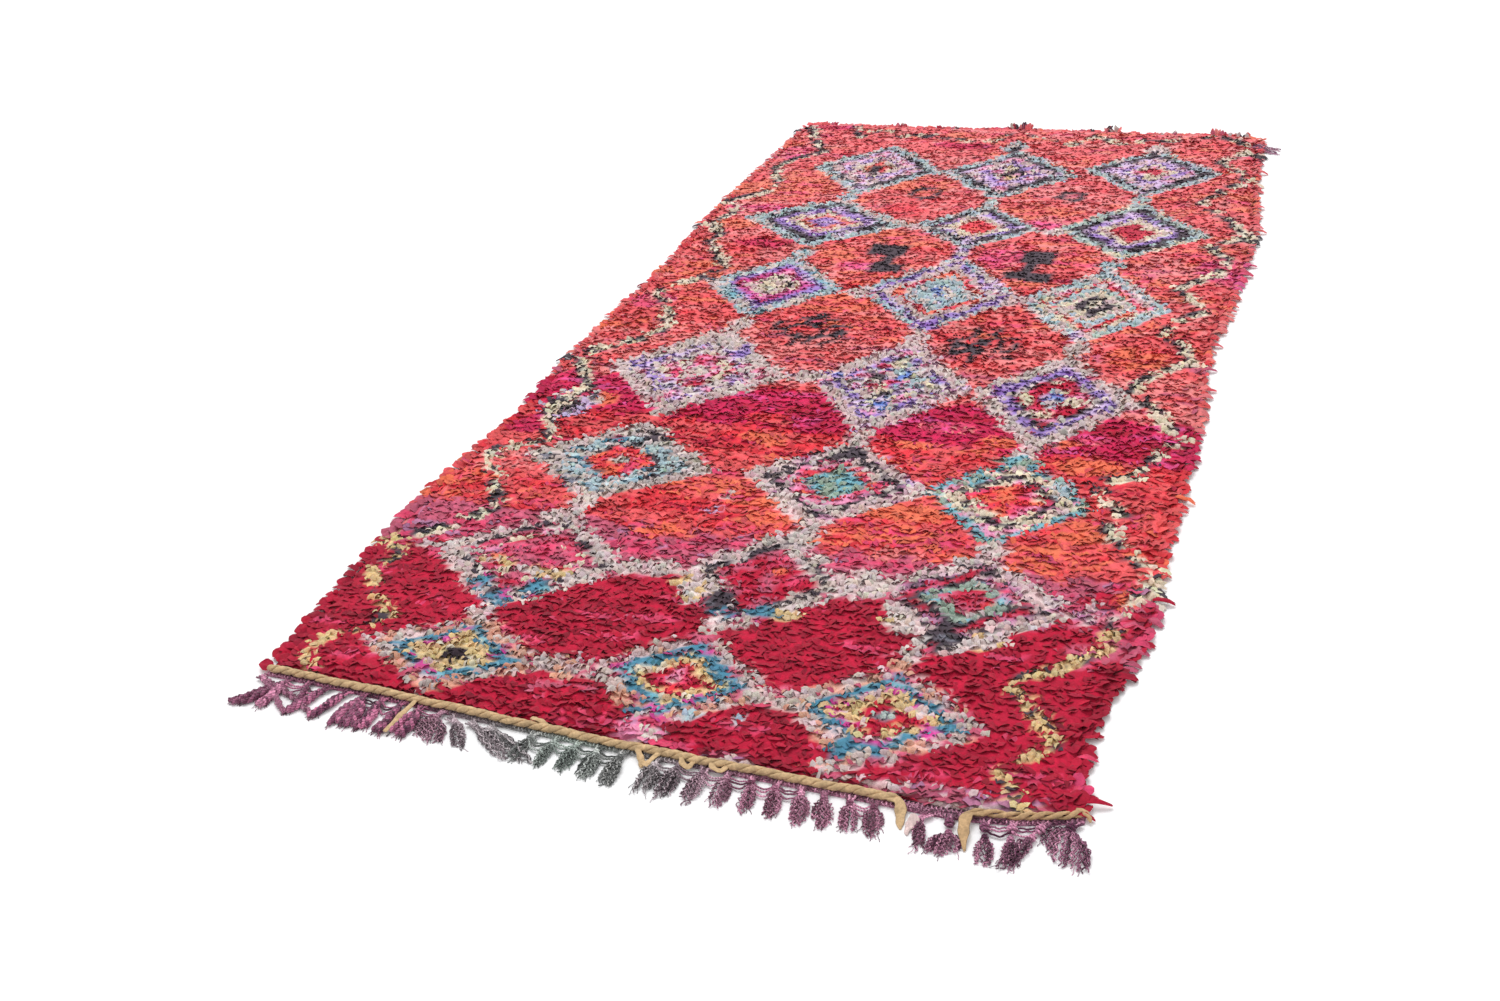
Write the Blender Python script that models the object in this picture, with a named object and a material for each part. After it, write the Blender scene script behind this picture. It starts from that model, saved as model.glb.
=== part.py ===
"""Boucherouite rug lying flat: a knotted rag pile, a fringed near end and its twisted cloth cords.

The rug lies on the plane z = 0 with its length along Y. The fringed end is at -Y, and the
origin is under the middle of the pile, on the face that the rug rests on.
"""

import math
import random

import bmesh
import bpy
from mathutils import Vector, noise

# Driving dimensions in metres
RUG_WIDTH = 1.40
RUG_LENGTH = 2.94
PILE_THICKNESS = 0.021
RIM_THICKNESS = 0.010
RIM_ROUNDING = 0.034
GAP = 0.0003

# The slab's mesh: even cells, with two narrow ones along each rim
CELLS_ACROSS = 26
CELLS_ALONG = 54
RIM_CELLS = (0.010, 0.026)

# Side edges: how far each stands out from the straight edge, from the near end to the far end
SIDE_COLUMNS = ("along", "left_out", "right_out")
SIDE_ROWS = (
    (0.00, 0.000, -0.006),
    (0.12, 0.004, -0.034),
    (0.30, 0.018, -0.012),
    (0.50, 0.028, 0.020),
    (0.70, 0.020, 0.008),
    (0.95, 0.000, 0.013),
    (1.20, 0.016, 0.014),
    (1.50, 0.008, 0.000),
    (1.75, 0.001, 0.015),
    (2.15, 0.015, 0.038),
    (2.45, 0.006, 0.021),
    (2.75, -0.005, 0.000),
    (2.94, -0.004, -0.004),
)

# End edges: how far each stands out beyond the straight end, from left to right
END_COLUMNS = ("across", "near_out", "far_out")
END_ROWS = (
    (0.00, 0.000, 0.000),
    (0.26, 0.010, -0.004),
    (0.55, 0.026, -0.003),
    (0.67, 0.031, 0.010),
    (0.80, 0.034, 0.002),
    (1.00, 0.038, 0.008),
    (1.13, 0.041, -0.003),
    (1.23, 0.043, 0.004),
    (1.34, 0.026, 0.006),
    (1.40, 0.004, -0.010),
)

# Swells of the pile: the soft lengthwise crease and the humps along the far end
SWELL_COLUMNS = ("across", "along", "half_across", "half_along", "rise")
SWELL_ROWS = (
    (0.715, 2.45, 0.030, 0.60, 0.0045),
    (0.700, 1.35, 0.026, 0.50, 0.0025),
    (0.670, 2.88, 0.040, 0.08, 0.0045),
    (1.000, 2.88, 0.045, 0.06, 0.0030),
    (1.300, 2.87, 0.045, 0.07, 0.0040),
    (0.080, 1.00, 0.050, 0.06, 0.0030),
    (0.560, 0.08, 0.120, 0.07, 0.0020),
    (1.200, 0.55, 0.080, 0.12, 0.0025),
)
LUMP_SIZES = (0.085, 0.24)
LUMP_RISES = (0.0062, 0.0040)
LUMP_SEED_HEIGHT = 7.3

# The worn hole near the left edge
HOLE_ACROSS = 0.099
HOLE_ALONG = 0.973
HOLE_HALF_ACROSS = 0.019
HOLE_HALF_ALONG = 0.015
HOLE_SIDES = 9
HOLE_WAVE = 0.18
HOLE_HOLLOW = 0.050
HOLE_SINK = 0.35

# Rag locks along the side rims: where they start and end in a cell's wall, as shares of it
LOCK_SPANS = (
    ((0.10, 0.44), (0.60, 0.92)),
    ((0.26, 0.66),),
    ((0.38, 0.82),),
)
LOCK_COLUMNS = ("reach", "tip_width", "lean_degrees")
LOCK_ROWS = (
    (0.022, 0.009, -14),
    (0.014, 0.011, 8),
    (0.030, 0.008, 18),
    (0.018, 0.010, -6),
    (0.012, 0.012, 12),
    (0.026, 0.009, -20),
    (0.016, 0.010, 4),
)
LOCK_TIP_HEIGHT = 0.004
LOCK_JITTER = 0.25
LOCK_STEPS = (0.55, 1.0)
LOCK_FREE_ENDS = 0.055

# The woven strip under the cord, and the tassels of knotted warp that leave it
STRIP_DEPTH = 0.0165
STRIP_THICKNESS = 0.004
TASSEL_PITCH = 0.0385
TASSEL_ROOT_WIDTH = 0.011
TASSEL_JITTER = 0.0022
FIRST_TASSEL = 0.014
BARE_COLUMNS = ("across", "half_width")
BARE_ROWS = (
    (0.306, 0.015),
    (0.520, 0.018),
    (0.736, 0.019),
    (1.152, 0.022),
    (1.246, 0.019),
)
TASSEL_COLUMNS = ("across", "length", "lean_degrees", "fan")
TASSEL_ROWS = (
    (0.00, 0.092, -20, 1.35),
    (0.06, 0.084, -10, 1.25),
    (0.12, 0.086, 14, 1.20),
    (0.17, 0.090, 15, 1.25),
    (0.22, 0.082, 4, 1.35),
    (0.32, 0.078, -6, 1.25),
    (0.45, 0.076, -17, 1.35),
    (0.60, 0.074, -6, 1.45),
    (0.70, 0.086, 0, 1.45),
    (0.82, 0.084, -5, 1.45),
    (0.90, 0.078, 6, 1.35),
    (1.00, 0.082, 13, 1.35),
    (1.10, 0.072, 12, 1.45),
    (1.19, 0.080, 14, 1.45),
    (1.28, 0.096, 10, 1.60),
    (1.34, 0.084, 18, 1.60),
    (1.40, 0.104, 21, 1.50),
)
TASSEL_HEAD_COLUMNS = ("distance", "width", "height")
TASSEL_HEAD_ROWS = (
    (0.006, 0.0085, 0.0050),
    (0.011, 0.0140, 0.0095),
    (0.019, 0.0150, 0.0100),
    (0.024, 0.0110, 0.0065),
)
STRANDS_IN_TASSELS = (4, 4, 5, 4)
STRAND_STEPS = (0.25, 0.65, 1.0)
STRAND_FILL = 0.68
STRAND_ROOT_HEIGHT = 0.0060
STRAND_TIP_HEIGHT = 0.0026
STRAND_SWAY = 0.0006
STRAND_LENGTH_JITTER = 0.10

# The twisted cloth cords that lie on the strip
CORD_HALF_WIDTH = 0.0066
CORD_SIDES = 8
CORD_STEPS_PER_TURN = 7
CORD_COLUMNS = ("name", "start", "end", "turn_length", "half_thin", "tone")
CORD_ROWS = (
    ("edge_cord_long", 0.004, 1.128, 0.046, 0.0046, (0.61, 0.40, 0.17)),
    ("edge_cord_short", 1.392, 1.250, 0.056, 0.0040, (0.58, 0.39, 0.18)),
)
CORD_END_SCALES = (0.55, 0.85)

# The cords' flat ends, folded down over the strip, one row for each section
FLAP_COLUMNS = ("ahead", "forward", "turn_degrees", "half_width", "half_thick")
LONG_FLAP_ROWS = (
    (0.006, 0.0005, 25, 0.0066, 0.0040),
    (0.012, 0.0030, 60, 0.0082, 0.0028),
    (0.016, 0.0090, 85, 0.0098, 0.0020),
    (0.018, 0.0190, 90, 0.0108, 0.0018),
    (0.020, 0.0280, 90, 0.0112, 0.0016),
    (0.021, 0.0380, 90, 0.0100, 0.0015),
)
SHORT_FLAP_ROWS = (
    (0.006, 0.0005, 25, 0.0068, 0.0040),
    (0.011, 0.0030, 60, 0.0080, 0.0028),
    (0.013, 0.0090, 85, 0.0090, 0.0020),
    (0.012, 0.0190, 92, 0.0094, 0.0018),
    (0.009, 0.0380, 96, 0.0096, 0.0016),
    (0.004, 0.0660, 98, 0.0070, 0.0015),
)
FLAP_DROP_START = 0.0090
FLAP_DROP_END = 0.0190

# Loose tails that leave the long cord, with one row for each section of a tail
TAIL_COLUMNS = ("forward", "underside", "width", "thickness")
TAIL_ROWS = (
    (0.0095, 0.0052, 0.009, 0.0040),
    (0.0140, 0.0030, 0.011, 0.0034),
    (0.0210, 0.0000, 0.012, 0.0030),
)
TAIL_PLACE_COLUMNS = ("across", "drift", "length", "tip_width")
TAIL_PLACE_ROWS = (
    (0.306, -0.012, 0.098, 0.0080),
    (0.736, 0.002, 0.036, 0.0130),
)

# The frayed tuft at the far right corner
TUFT_ALONG = 2.868
TUFT_WIDTH = 0.034
TUFT_DEPTH = 0.010
TUFT_HEIGHT = 0.008
TUFT_STRANDS = 5
TUFT_STRAND_LENGTH = 0.050
TUFT_STRAND_FAN = 0.6

LOCK_SEED = 11
FRINGE_SEED = 23
TUFT_SEED = 37

CRIMSON = (0.49, 0.02, 0.06)
MAUVE = (0.26, 0.07, 0.14)


def new_collection(name):
    """Makes a collection in the scene."""
    collection = bpy.data.collections.new(name)
    bpy.context.scene.collection.children.link(collection)
    return collection


def plain_material(name, colour, roughness):
    """A dry cloth finish with the part's own colour."""
    material = bpy.data.materials.new(name)
    material.use_nodes = True
    shader = material.node_tree.nodes["Principled BSDF"]
    shader.inputs["Base Color"].default_value = (*colour, 1.0)
    shader.inputs["Roughness"].default_value = roughness
    shader.inputs["Metallic"].default_value = 0.0
    return material


def add_object(name, bm, collection, material=None):
    """Turns a bmesh into a named object of its own."""
    bmesh.ops.recalc_face_normals(bm, faces=bm.faces[:])
    mesh = bpy.data.meshes.new(name)
    bm.to_mesh(mesh)
    bm.free()
    body = bpy.data.objects.new(name, mesh)
    collection.objects.link(body)
    if material:
        mesh.materials.append(material)
    return body


def column(rows, columns, name):
    """One named column of a table."""
    place = columns.index(name)
    return [row[place] for row in rows]


def smooth_read(rows, columns, key, name, where):
    """Reads a table between its rows on a curve that is level at each row's own slope."""
    keys = column(rows, columns, key)
    values = column(rows, columns, name)
    where = min(max(where, keys[0]), keys[-1])
    index = max(i for i in range(len(keys) - 1) if keys[i] <= where)
    span = keys[index + 1] - keys[index]
    share = (where - keys[index]) / span

    def slope(i):
        low = max(i - 1, 0)
        high = min(i + 1, len(keys) - 1)
        return (values[high] - values[low]) / (keys[high] - keys[low])

    start = (1 + 2 * share) * (1 - share) ** 2 * values[index]
    leave = share * (1 - share) ** 2 * span * slope(index)
    end = share**2 * (3 - 2 * share) * values[index + 1]
    arrive = share**2 * (share - 1) * span * slope(index + 1)
    return start + leave + end + arrive


def ease(value):
    """Zero to one with a level start and end."""
    value = min(max(value, 0.0), 1.0)
    return value * value * (3 - 2 * value)


def cell_lines(size, cells):
    """Grid lines over a length: narrow cells at both rims and even ones between."""
    inner = cells - 2 * len(RIM_CELLS)
    start = RIM_CELLS[-1]
    middle = [start + (size - 2 * start) * i / inner for i in range(inner + 1)]
    near = [0.0, *RIM_CELLS[:-1]]
    far = [size - line for line in reversed(near)]
    return near + middle + far


ACROSS_LINES = cell_lines(RUG_WIDTH, CELLS_ACROSS)
ALONG_LINES = cell_lines(RUG_LENGTH, CELLS_ALONG)


def slab_corner(across, along):
    """Places a point of the straight rectangle in the rug's uneven outline."""
    left_out = smooth_read(SIDE_ROWS, SIDE_COLUMNS, "along", "left_out", along)
    right_out = smooth_read(SIDE_ROWS, SIDE_COLUMNS, "along", "right_out", along)
    near_out = smooth_read(END_ROWS, END_COLUMNS, "across", "near_out", across)
    far_out = smooth_read(END_ROWS, END_COLUMNS, "across", "far_out", across)
    share_x = across / RUG_WIDTH
    share_y = along / RUG_LENGTH
    x = across - left_out * (1 - share_x) + right_out * share_x
    y = along - near_out * (1 - share_y) + far_out * share_y
    return Vector((x - RUG_WIDTH / 2, y - RUG_LENGTH / 2, 0.0))


def pile_height(across, along):
    """Height of the pile's lumpy top over a point of the straight rectangle."""
    inset = min(across, RUG_WIDTH - across, along, RUG_LENGTH - along)
    share = ease(inset / RIM_ROUNDING)
    height = RIM_THICKNESS + (PILE_THICKNESS - RIM_THICKNESS) * share
    for size, rise in zip(LUMP_SIZES, LUMP_RISES):
        place = Vector((across / size, along / size, LUMP_SEED_HEIGHT))
        height += rise * share * noise.noise(place)
    for row in SWELL_ROWS:
        swell = dict(zip(SWELL_COLUMNS, row))
        off_x = (across - swell["across"]) / swell["half_across"]
        off_y = (along - swell["along"]) / swell["half_along"]
        height += swell["rise"] * share * math.exp(-off_x * off_x - off_y * off_y)
    from_hole = math.hypot(across - HOLE_ACROSS, along - HOLE_ALONG)
    sink = HOLE_SINK * (1 - ease(from_hole / HOLE_HOLLOW))
    return height * (1 - sink)


def near_edge(x):
    """The slab's near wall at x, in the rug's frame, along its straight facets."""
    corners = [slab_corner(line, 0.0) for line in ACROSS_LINES]
    for first, second in zip(corners, corners[1:]):
        if x <= second.x:
            break
    share = (x - first.x) / (second.x - first.x)
    return first.y + (second.y - first.y) * share


def extrude_up(bm, heights, one_floor=False):
    """Raises a flat grid into a slab, with each vertex of its top at its own height."""
    flat = bm.faces[:]
    raised = bmesh.ops.extrude_face_region(bm, geom=flat)
    for item in raised["geom"]:
        if isinstance(item, bmesh.types.BMVert):
            item.co.z = heights(item)
    if one_floor:
        bmesh.ops.dissolve_faces(bm, faces=flat)
    bmesh.ops.recalc_face_normals(bm, faces=bm.faces[:])


def wall_faces(bm, direction, floor_share=0.75):
    """The upright faces that look in a direction."""
    return [face for face in bm.faces if face.normal.dot(direction) > floor_share]


def cut_wall(bm, wall, place, normal):
    """Cuts one upright wall on a plane and returns its two parts."""
    edges = list(wall.edges)
    cut = bmesh.ops.bisect_plane(bm, geom=[wall, *edges], plane_co=place, plane_no=normal)
    return [item for item in cut["geom"] if isinstance(item, bmesh.types.BMFace)]


def grow(bm, face, stations):
    """Extrudes a four-cornered upright face through stations that stand on the floor."""
    for station in stations:
        across = station["across"]
        face = bmesh.ops.extrude_discrete_faces(bm, faces=[face])["faces"][0]
        ordered = sorted(face.verts, key=lambda vert: vert.co.dot(across))
        for side, pair in ((-0.5, ordered[:2]), (0.5, ordered[2:])):
            low, high = sorted(pair, key=lambda vert: vert.co.z)
            corner = station["centre"] + across * side * station["width"]
            low.co = Vector((corner.x, corner.y, station["underside"]))
            high.co = Vector((corner.x, corner.y, station["underside"] + station["height"]))
    return face


def station(centre, across, width, height, underside=0.0):
    """One section of a strand: where it is, how wide and how high."""
    return {
        "centre": centre,
        "across": across,
        "width": width,
        "height": height,
        "underside": underside,
    }


def turned(direction, degrees):
    """A level direction turned about the upright axis."""
    angle = math.radians(degrees)
    x = direction.x * math.cos(angle) - direction.y * math.sin(angle)
    y = direction.x * math.sin(angle) + direction.y * math.cos(angle)
    return Vector((x, y, 0.0))


def lock_spans(cell):
    """The stretches of one cell's wall that locks grow from, as shares of the cell."""
    return LOCK_SPANS[cell % len(LOCK_SPANS)]


def side_wall_cells(bm, side):
    """The walls of one side rim, from the near end to the far end."""
    walls = wall_faces(bm, Vector((side, 0, 0)))
    return sorted(walls, key=lambda face: face.calc_center_median().y)


def grow_lock(bm, root, side, row, chance):
    """One rag lock: a flat tongue that leaves the rim and rests on the floor."""
    lock = dict(zip(LOCK_COLUMNS, row))
    reach = lock["reach"] * chance.uniform(1 - LOCK_JITTER, 1 + LOCK_JITTER)
    lean = lock["lean_degrees"] * side
    out = turned(Vector((side, 0, 0)), lean)
    across = turned(out, 90)
    start = root.calc_center_median()
    start.z = 0.0
    root_width = max(vert.co.y for vert in root.verts) - min(vert.co.y for vert in root.verts)
    stations = []
    for share in LOCK_STEPS:
        width = root_width + (lock["tip_width"] - root_width) * share
        height = RIM_THICKNESS + (LOCK_TIP_HEIGHT - RIM_THICKNESS) * share
        stations.append(station(start + out * reach * share, across, width, height))
    grow(bm, root, stations)


def grow_side_locks(bm, side):
    """Cuts the lock roots in one side rim and grows a lock from each."""
    chance = random.Random(LOCK_SEED + side)
    roots = []
    for cell, wall in enumerate(side_wall_cells(bm, side)):
        low = min(vert.co.y for vert in wall.verts)
        high = max(vert.co.y for vert in wall.verts)
        near_end = low < -RUG_LENGTH / 2 + LOCK_FREE_ENDS
        far_end = high > RUG_LENGTH / 2 - 2 * LOCK_FREE_ENDS
        if near_end or far_end:
            continue
        rest = wall
        for start, end in lock_spans(cell):
            for share in (start, end):
                place = Vector((0, low + (high - low) * share, 0))
                parts = cut_wall(bm, rest, place, Vector((0, 1, 0)))
                parts.sort(key=lambda face: face.calc_center_median().y)
                if share == end:
                    roots.append(parts[0])
                rest = parts[-1]
    for index, root in enumerate(roots):
        grow_lock(bm, root, side, LOCK_ROWS[index % len(LOCK_ROWS)], chance)
    return len(roots)


def build_hole_cutter(collection):
    """An uneven upright prism for the worn hole."""
    bm = bmesh.new()
    bmesh.ops.create_cone(
        bm,
        cap_ends=True,
        segments=HOLE_SIDES,
        radius1=1.0,
        radius2=1.0,
        depth=4 * PILE_THICKNESS,
    )
    centre = slab_corner(HOLE_ACROSS, HOLE_ALONG)
    for vert in bm.verts:
        angle = math.atan2(vert.co.y, vert.co.x)
        wave = 1 + HOLE_WAVE * math.sin(2 * angle + 1) * math.cos(3 * angle)
        vert.co.x = centre.x + vert.co.x * HOLE_HALF_ACROSS * wave
        vert.co.y = centre.y + vert.co.y * HOLE_HALF_ALONG * wave
    cutter = add_object("hole_cutter", bm, collection)
    cutter.display_type = "WIRE"
    cutter.hide_render = True
    return cutter


def build_pile(collection, cutters):
    """The knotted rug itself: a lumpy slab, flat underneath, with rag locks at its sides."""
    bm = bmesh.new()
    bmesh.ops.create_grid(
        bm, x_segments=len(ACROSS_LINES) - 1, y_segments=len(ALONG_LINES) - 1, size=0.5
    )
    places = {}
    for vert in bm.verts:
        across = ACROSS_LINES[round((vert.co.x + 0.5) * (len(ACROSS_LINES) - 1))]
        along = ALONG_LINES[round((vert.co.y + 0.5) * (len(ALONG_LINES) - 1))]
        vert.co = slab_corner(across, along)
        places[(round(vert.co.x, 6), round(vert.co.y, 6))] = (across, along)

    def height(vert):
        return pile_height(*places[(round(vert.co.x, 6), round(vert.co.y, 6))])

    extrude_up(bm, height, one_floor=True)
    grow_side_locks(bm, -1)
    grow_side_locks(bm, 1)
    material = plain_material("crimson_rag_pile", CRIMSON, 0.95)
    rug = add_object("rug_pile", bm, collection, material)
    hole = rug.modifiers.new("worn_hole", "BOOLEAN")
    hole.operation = "DIFFERENCE"
    hole.solver = "EXACT"
    hole.object = build_hole_cutter(cutters)
    return rug


def tassel_centres(chance):
    """Where the tassels leave the strip, past the bare stretches."""
    centres = []
    across = FIRST_TASSEL
    while across < RUG_WIDTH - TASSEL_ROOT_WIDTH:
        bare = [row for row in BARE_ROWS if abs(across - row[0]) < row[1]]
        if bare:
            across = bare[0][0] + bare[0][1]
        centres.append(across + chance.uniform(-TASSEL_JITTER, TASSEL_JITTER))
        across += TASSEL_PITCH
    return centres


def grow_strands(bm, waist, count, heading, length, fan, chance):
    """Splits a face into side-by-side columns and grows a fanning strand from each."""
    across = turned(heading, 90)
    centre = waist.calc_center_median()
    centre.z = 0.0
    reach = [(vert.co - centre).dot(across) for vert in waist.verts]
    width = max(reach) - min(reach)
    parts = [waist]
    for cut in range(1, count):
        plane = centre + across * (cut / count - 0.5) * width
        rest = max(parts, key=lambda face: face.calc_center_median().dot(across))
        parts.remove(rest)
        parts += cut_wall(bm, rest, plane, across)
    parts.sort(key=lambda face: face.calc_center_median().dot(across))
    for index, part in enumerate(parts):
        offset = (index + 0.5) / count - 0.5
        own_length = length * chance.uniform(1 - STRAND_LENGTH_JITTER, 1.0)
        phase = chance.uniform(0, 2 * math.pi)
        stations = []
        for share in STRAND_STEPS:
            sway = STRAND_SWAY * share * math.sin(phase + 4 * share)
            spread = width * (1 + fan * share)
            place = centre + heading * own_length * share + across * (offset * spread + sway)
            drop = STRAND_TIP_HEIGHT - STRAND_ROOT_HEIGHT
            height = STRAND_ROOT_HEIGHT + drop * share
            stations.append(station(place, across, STRAND_FILL * spread / count, height))
        grow(bm, part, stations)


def grow_tassel(bm, root, across, index, chance):
    """One tassel: a short neck, its knot and the strands that fan out of it."""
    length = smooth_read(TASSEL_ROWS, TASSEL_COLUMNS, "across", "length", across)
    lean = smooth_read(TASSEL_ROWS, TASSEL_COLUMNS, "across", "lean_degrees", across)
    fan = smooth_read(TASSEL_ROWS, TASSEL_COLUMNS, "across", "fan", across)
    heading = turned(Vector((0, -1, 0)), lean)
    side = turned(heading, 90)
    start = root.calc_center_median()
    start.z = 0.0
    stations = []
    for row in TASSEL_HEAD_ROWS:
        head = dict(zip(TASSEL_HEAD_COLUMNS, row))
        place = start + heading * head["distance"]
        stations.append(station(place, side, head["width"], head["height"]))
    waist = grow(bm, root, stations)
    left = length - TASSEL_HEAD_ROWS[-1][0]
    count = STRANDS_IN_TASSELS[index % len(STRANDS_IN_TASSELS)]
    grow_strands(bm, waist, count, heading, left, fan, chance)
    return count


def strip_lines(centres):
    """The strip's lines across: both sides of each tassel's root, and the pile wall's own corners."""
    lines = []
    for centre in centres:
        lines += [centre - TASSEL_ROOT_WIDTH / 2, centre + TASSEL_ROOT_WIDTH / 2]
    for line in ACROSS_LINES:
        corner = slab_corner(line, 0.0).x
        if all(abs(corner - centre) > TASSEL_ROOT_WIDTH * 0.6 for centre in centres):
            lines.append(corner)
    return sorted(lines)


def build_fringe(collection):
    """The near end's woven strip with its tassels."""
    chance = random.Random(FRINGE_SEED)
    centres = tassel_centres(chance)
    lines = strip_lines([centre - RUG_WIDTH / 2 for centre in centres])
    bm = bmesh.new()
    bmesh.ops.create_grid(bm, x_segments=len(lines) - 1, y_segments=1, size=0.5)
    for vert in bm.verts:
        x = lines[round((vert.co.x + 0.5) * (len(lines) - 1))]
        back = vert.co.y > 0
        vert.co.x = x
        vert.co.y = near_edge(x) - GAP - (0.0 if back else STRIP_DEPTH)
    extrude_up(bm, lambda vert: STRIP_THICKNESS)
    front = [(face.calc_center_median().x, face) for face in wall_faces(bm, Vector((0, -1, 0)))]
    roots = [min(front, key=lambda item: abs(item[0] + RUG_WIDTH / 2 - across))[1] for across in centres]
    for index, (root, across) in enumerate(zip(roots, centres)):
        grow_tassel(bm, root, across, index, chance)
    material = plain_material("mauve_wool_warp", MAUVE, 0.95)
    return add_object("near_fringe", bm, collection, material)


def build_tuft(collection):
    """The frayed corner: a short rolled end with loose yarns that reach past the side edge."""
    chance = random.Random(TUFT_SEED)
    bm = bmesh.new()
    bmesh.ops.create_grid(bm, x_segments=1, y_segments=1, size=0.5)
    low = TUFT_ALONG - TUFT_WIDTH / 2
    high = TUFT_ALONG + TUFT_WIDTH / 2
    for vert in bm.verts:
        along = high if vert.co.y > 0 else low
        outer = vert.co.x > 0
        edge = side_wall_x(slab_corner(RUG_WIDTH, along).y)
        vert.co = Vector((edge + GAP, slab_corner(RUG_WIDTH, along).y, 0.0))
        vert.co.x += TUFT_DEPTH if outer else 0.0
    extrude_up(bm, lambda vert: TUFT_HEIGHT)
    wall = wall_faces(bm, Vector((1, 0, 0)))[0]
    heading = turned(Vector((1, 0, 0)), -14)
    grow_strands(bm, wall, TUFT_STRANDS, heading, TUFT_STRAND_LENGTH, TUFT_STRAND_FAN, chance)
    material = plain_material("mauve_loose_yarn", MAUVE, 0.95)
    return add_object("corner_tuft", bm, collection, material)


def side_wall_x(y):
    """The slab's right wall at y, along its straight facets."""
    corners = [slab_corner(RUG_WIDTH, line) for line in ALONG_LINES]
    for first, second in zip(corners, corners[1:]):
        if y <= second.y:
            break
    share = (y - first.y) / (second.y - first.y)
    return first.x + (second.x - first.x) * share


def cord_centre(x):
    """The middle of a cord at x: beside the pile and on the strip."""
    y = near_edge(x) - GAP - CORD_HALF_WIDTH
    return Vector((x, y, STRIP_THICKNESS + GAP + CORD_HALF_WIDTH))


def ring_places(centre, heading, half_width, half_thick, roll):
    """Eight points round a section of cloth cord, which is as wide as it is thick when round."""
    across = turned(heading, 90)
    largest = math.cos(math.pi / CORD_SIDES)
    places = []
    for index in range(CORD_SIDES):
        angle = 2 * math.pi * (index + 0.5) / CORD_SIDES
        a = half_width * math.cos(angle) / largest
        b = half_thick * math.sin(angle) / largest
        side = a * math.cos(roll) - b * math.sin(roll)
        up = a * math.sin(roll) + b * math.cos(roll)
        places.append(centre + across * side + Vector((0, 0, up)))
    return places


def cord_rings(cord, flap_rows):
    """The rings of a twisted cord, from its plain end to its flat folded end."""
    start = cord["start"] - RUG_WIDTH / 2
    end = cord["end"] - RUG_WIDTH / 2
    ahead = 1 if end > start else -1
    turns = round(abs(end - start) / cord["turn_length"] * 2) / 2
    steps = round(turns * CORD_STEPS_PER_TURN)
    rings = []
    for step in range(steps + 1):
        centre = cord_centre(start + (end - start) * step / steps)
        roll = 2 * math.pi * turns * step / steps
        scale = CORD_END_SCALES[step] if step < len(CORD_END_SCALES) else 1.0
        wide = CORD_HALF_WIDTH * scale * math.cos(math.pi / CORD_SIDES)
        thin = cord["half_thin"] * scale
        rings.append(ring_places(centre, Vector((ahead, 0, 0)), wide, thin, roll))
    top = cord_centre(end)
    for row in flap_rows:
        flap = dict(zip(FLAP_COLUMNS, row))
        drop = ease((flap["forward"] - FLAP_DROP_START) / (FLAP_DROP_END - FLAP_DROP_START))
        height = top.z + (flap["half_thick"] - top.z) * drop
        place = Vector((top.x + ahead * flap["ahead"], top.y - flap["forward"], height))
        heading = turned(Vector((ahead, 0, 0)), -ahead * flap["turn_degrees"])
        flip = math.pi * (round(2 * turns) % 2)
        ring = ring_places(place, heading, flap["half_width"], flap["half_thick"], flip)
        rings.append(ring)
    return rings


def skin_rings(bm, rings):
    """Extrudes a disc through a row of rings into one closed body."""
    bmesh.ops.create_circle(bm, cap_ends=True, segments=CORD_SIDES, radius=0.01)
    tip = list(bm.faces)[0]
    for vert, place in zip(tip.verts, rings[0]):
        vert.co = place
    for ring in rings[1:]:
        tip = bmesh.ops.extrude_discrete_faces(bm, faces=[tip])["faces"][0]
        for vert, place in zip(tip.verts, ring):
            vert.co = place


def close_start(bm):
    """Fills the open ring that the first extrusion leaves."""
    edges = [edge for edge in bm.edges if edge.is_boundary]
    if edges:
        bmesh.ops.holes_fill(bm, edges=edges, sides=0)


def grow_tail(bm, row):
    """A loose end of the cord's cloth that leaves its front and lies on the floor."""
    place = dict(zip(TAIL_PLACE_COLUMNS, row))
    root = cord_centre(place["across"] - RUG_WIDTH / 2)
    front = Vector((0, -1, 0))
    target = root + front * CORD_HALF_WIDTH
    walls = [face for face in wall_faces(bm, front, 0.5) if len(face.verts) == 4]
    face = min(walls, key=lambda wall: (wall.calc_center_median() - target).length)
    across = Vector((1, 0, 0))
    middle = root.copy()
    middle.z = 0.0
    stations = []
    for section_row in TAIL_ROWS:
        section = dict(zip(TAIL_COLUMNS, section_row))
        spot = middle + front * section["forward"]
        stations.append(
            station(spot, across, section["width"], section["thickness"], section["underside"])
        )
    tip = middle + front * place["length"] + across * place["drift"]
    halfway = middle.lerp(tip, 0.6)
    stations.append(station(halfway, across, TAIL_ROWS[-1][2], TAIL_ROWS[-1][3]))
    stations.append(station(tip, across, place["tip_width"], TAIL_ROWS[-1][3]))
    grow(bm, face, stations)


def build_cord(row, flap_rows, tail_rows, collection):
    """One twisted cloth cord with its folded end and its loose tails."""
    cord = dict(zip(CORD_COLUMNS, row))
    bm = bmesh.new()
    skin_rings(bm, cord_rings(cord, flap_rows))
    close_start(bm)
    bmesh.ops.recalc_face_normals(bm, faces=bm.faces[:])
    for tail_row in tail_rows:
        grow_tail(bm, tail_row)
    material = plain_material(cord["name"] + "_cloth", cord["tone"], 0.9)
    return add_object(cord["name"], bm, collection, material)


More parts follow.
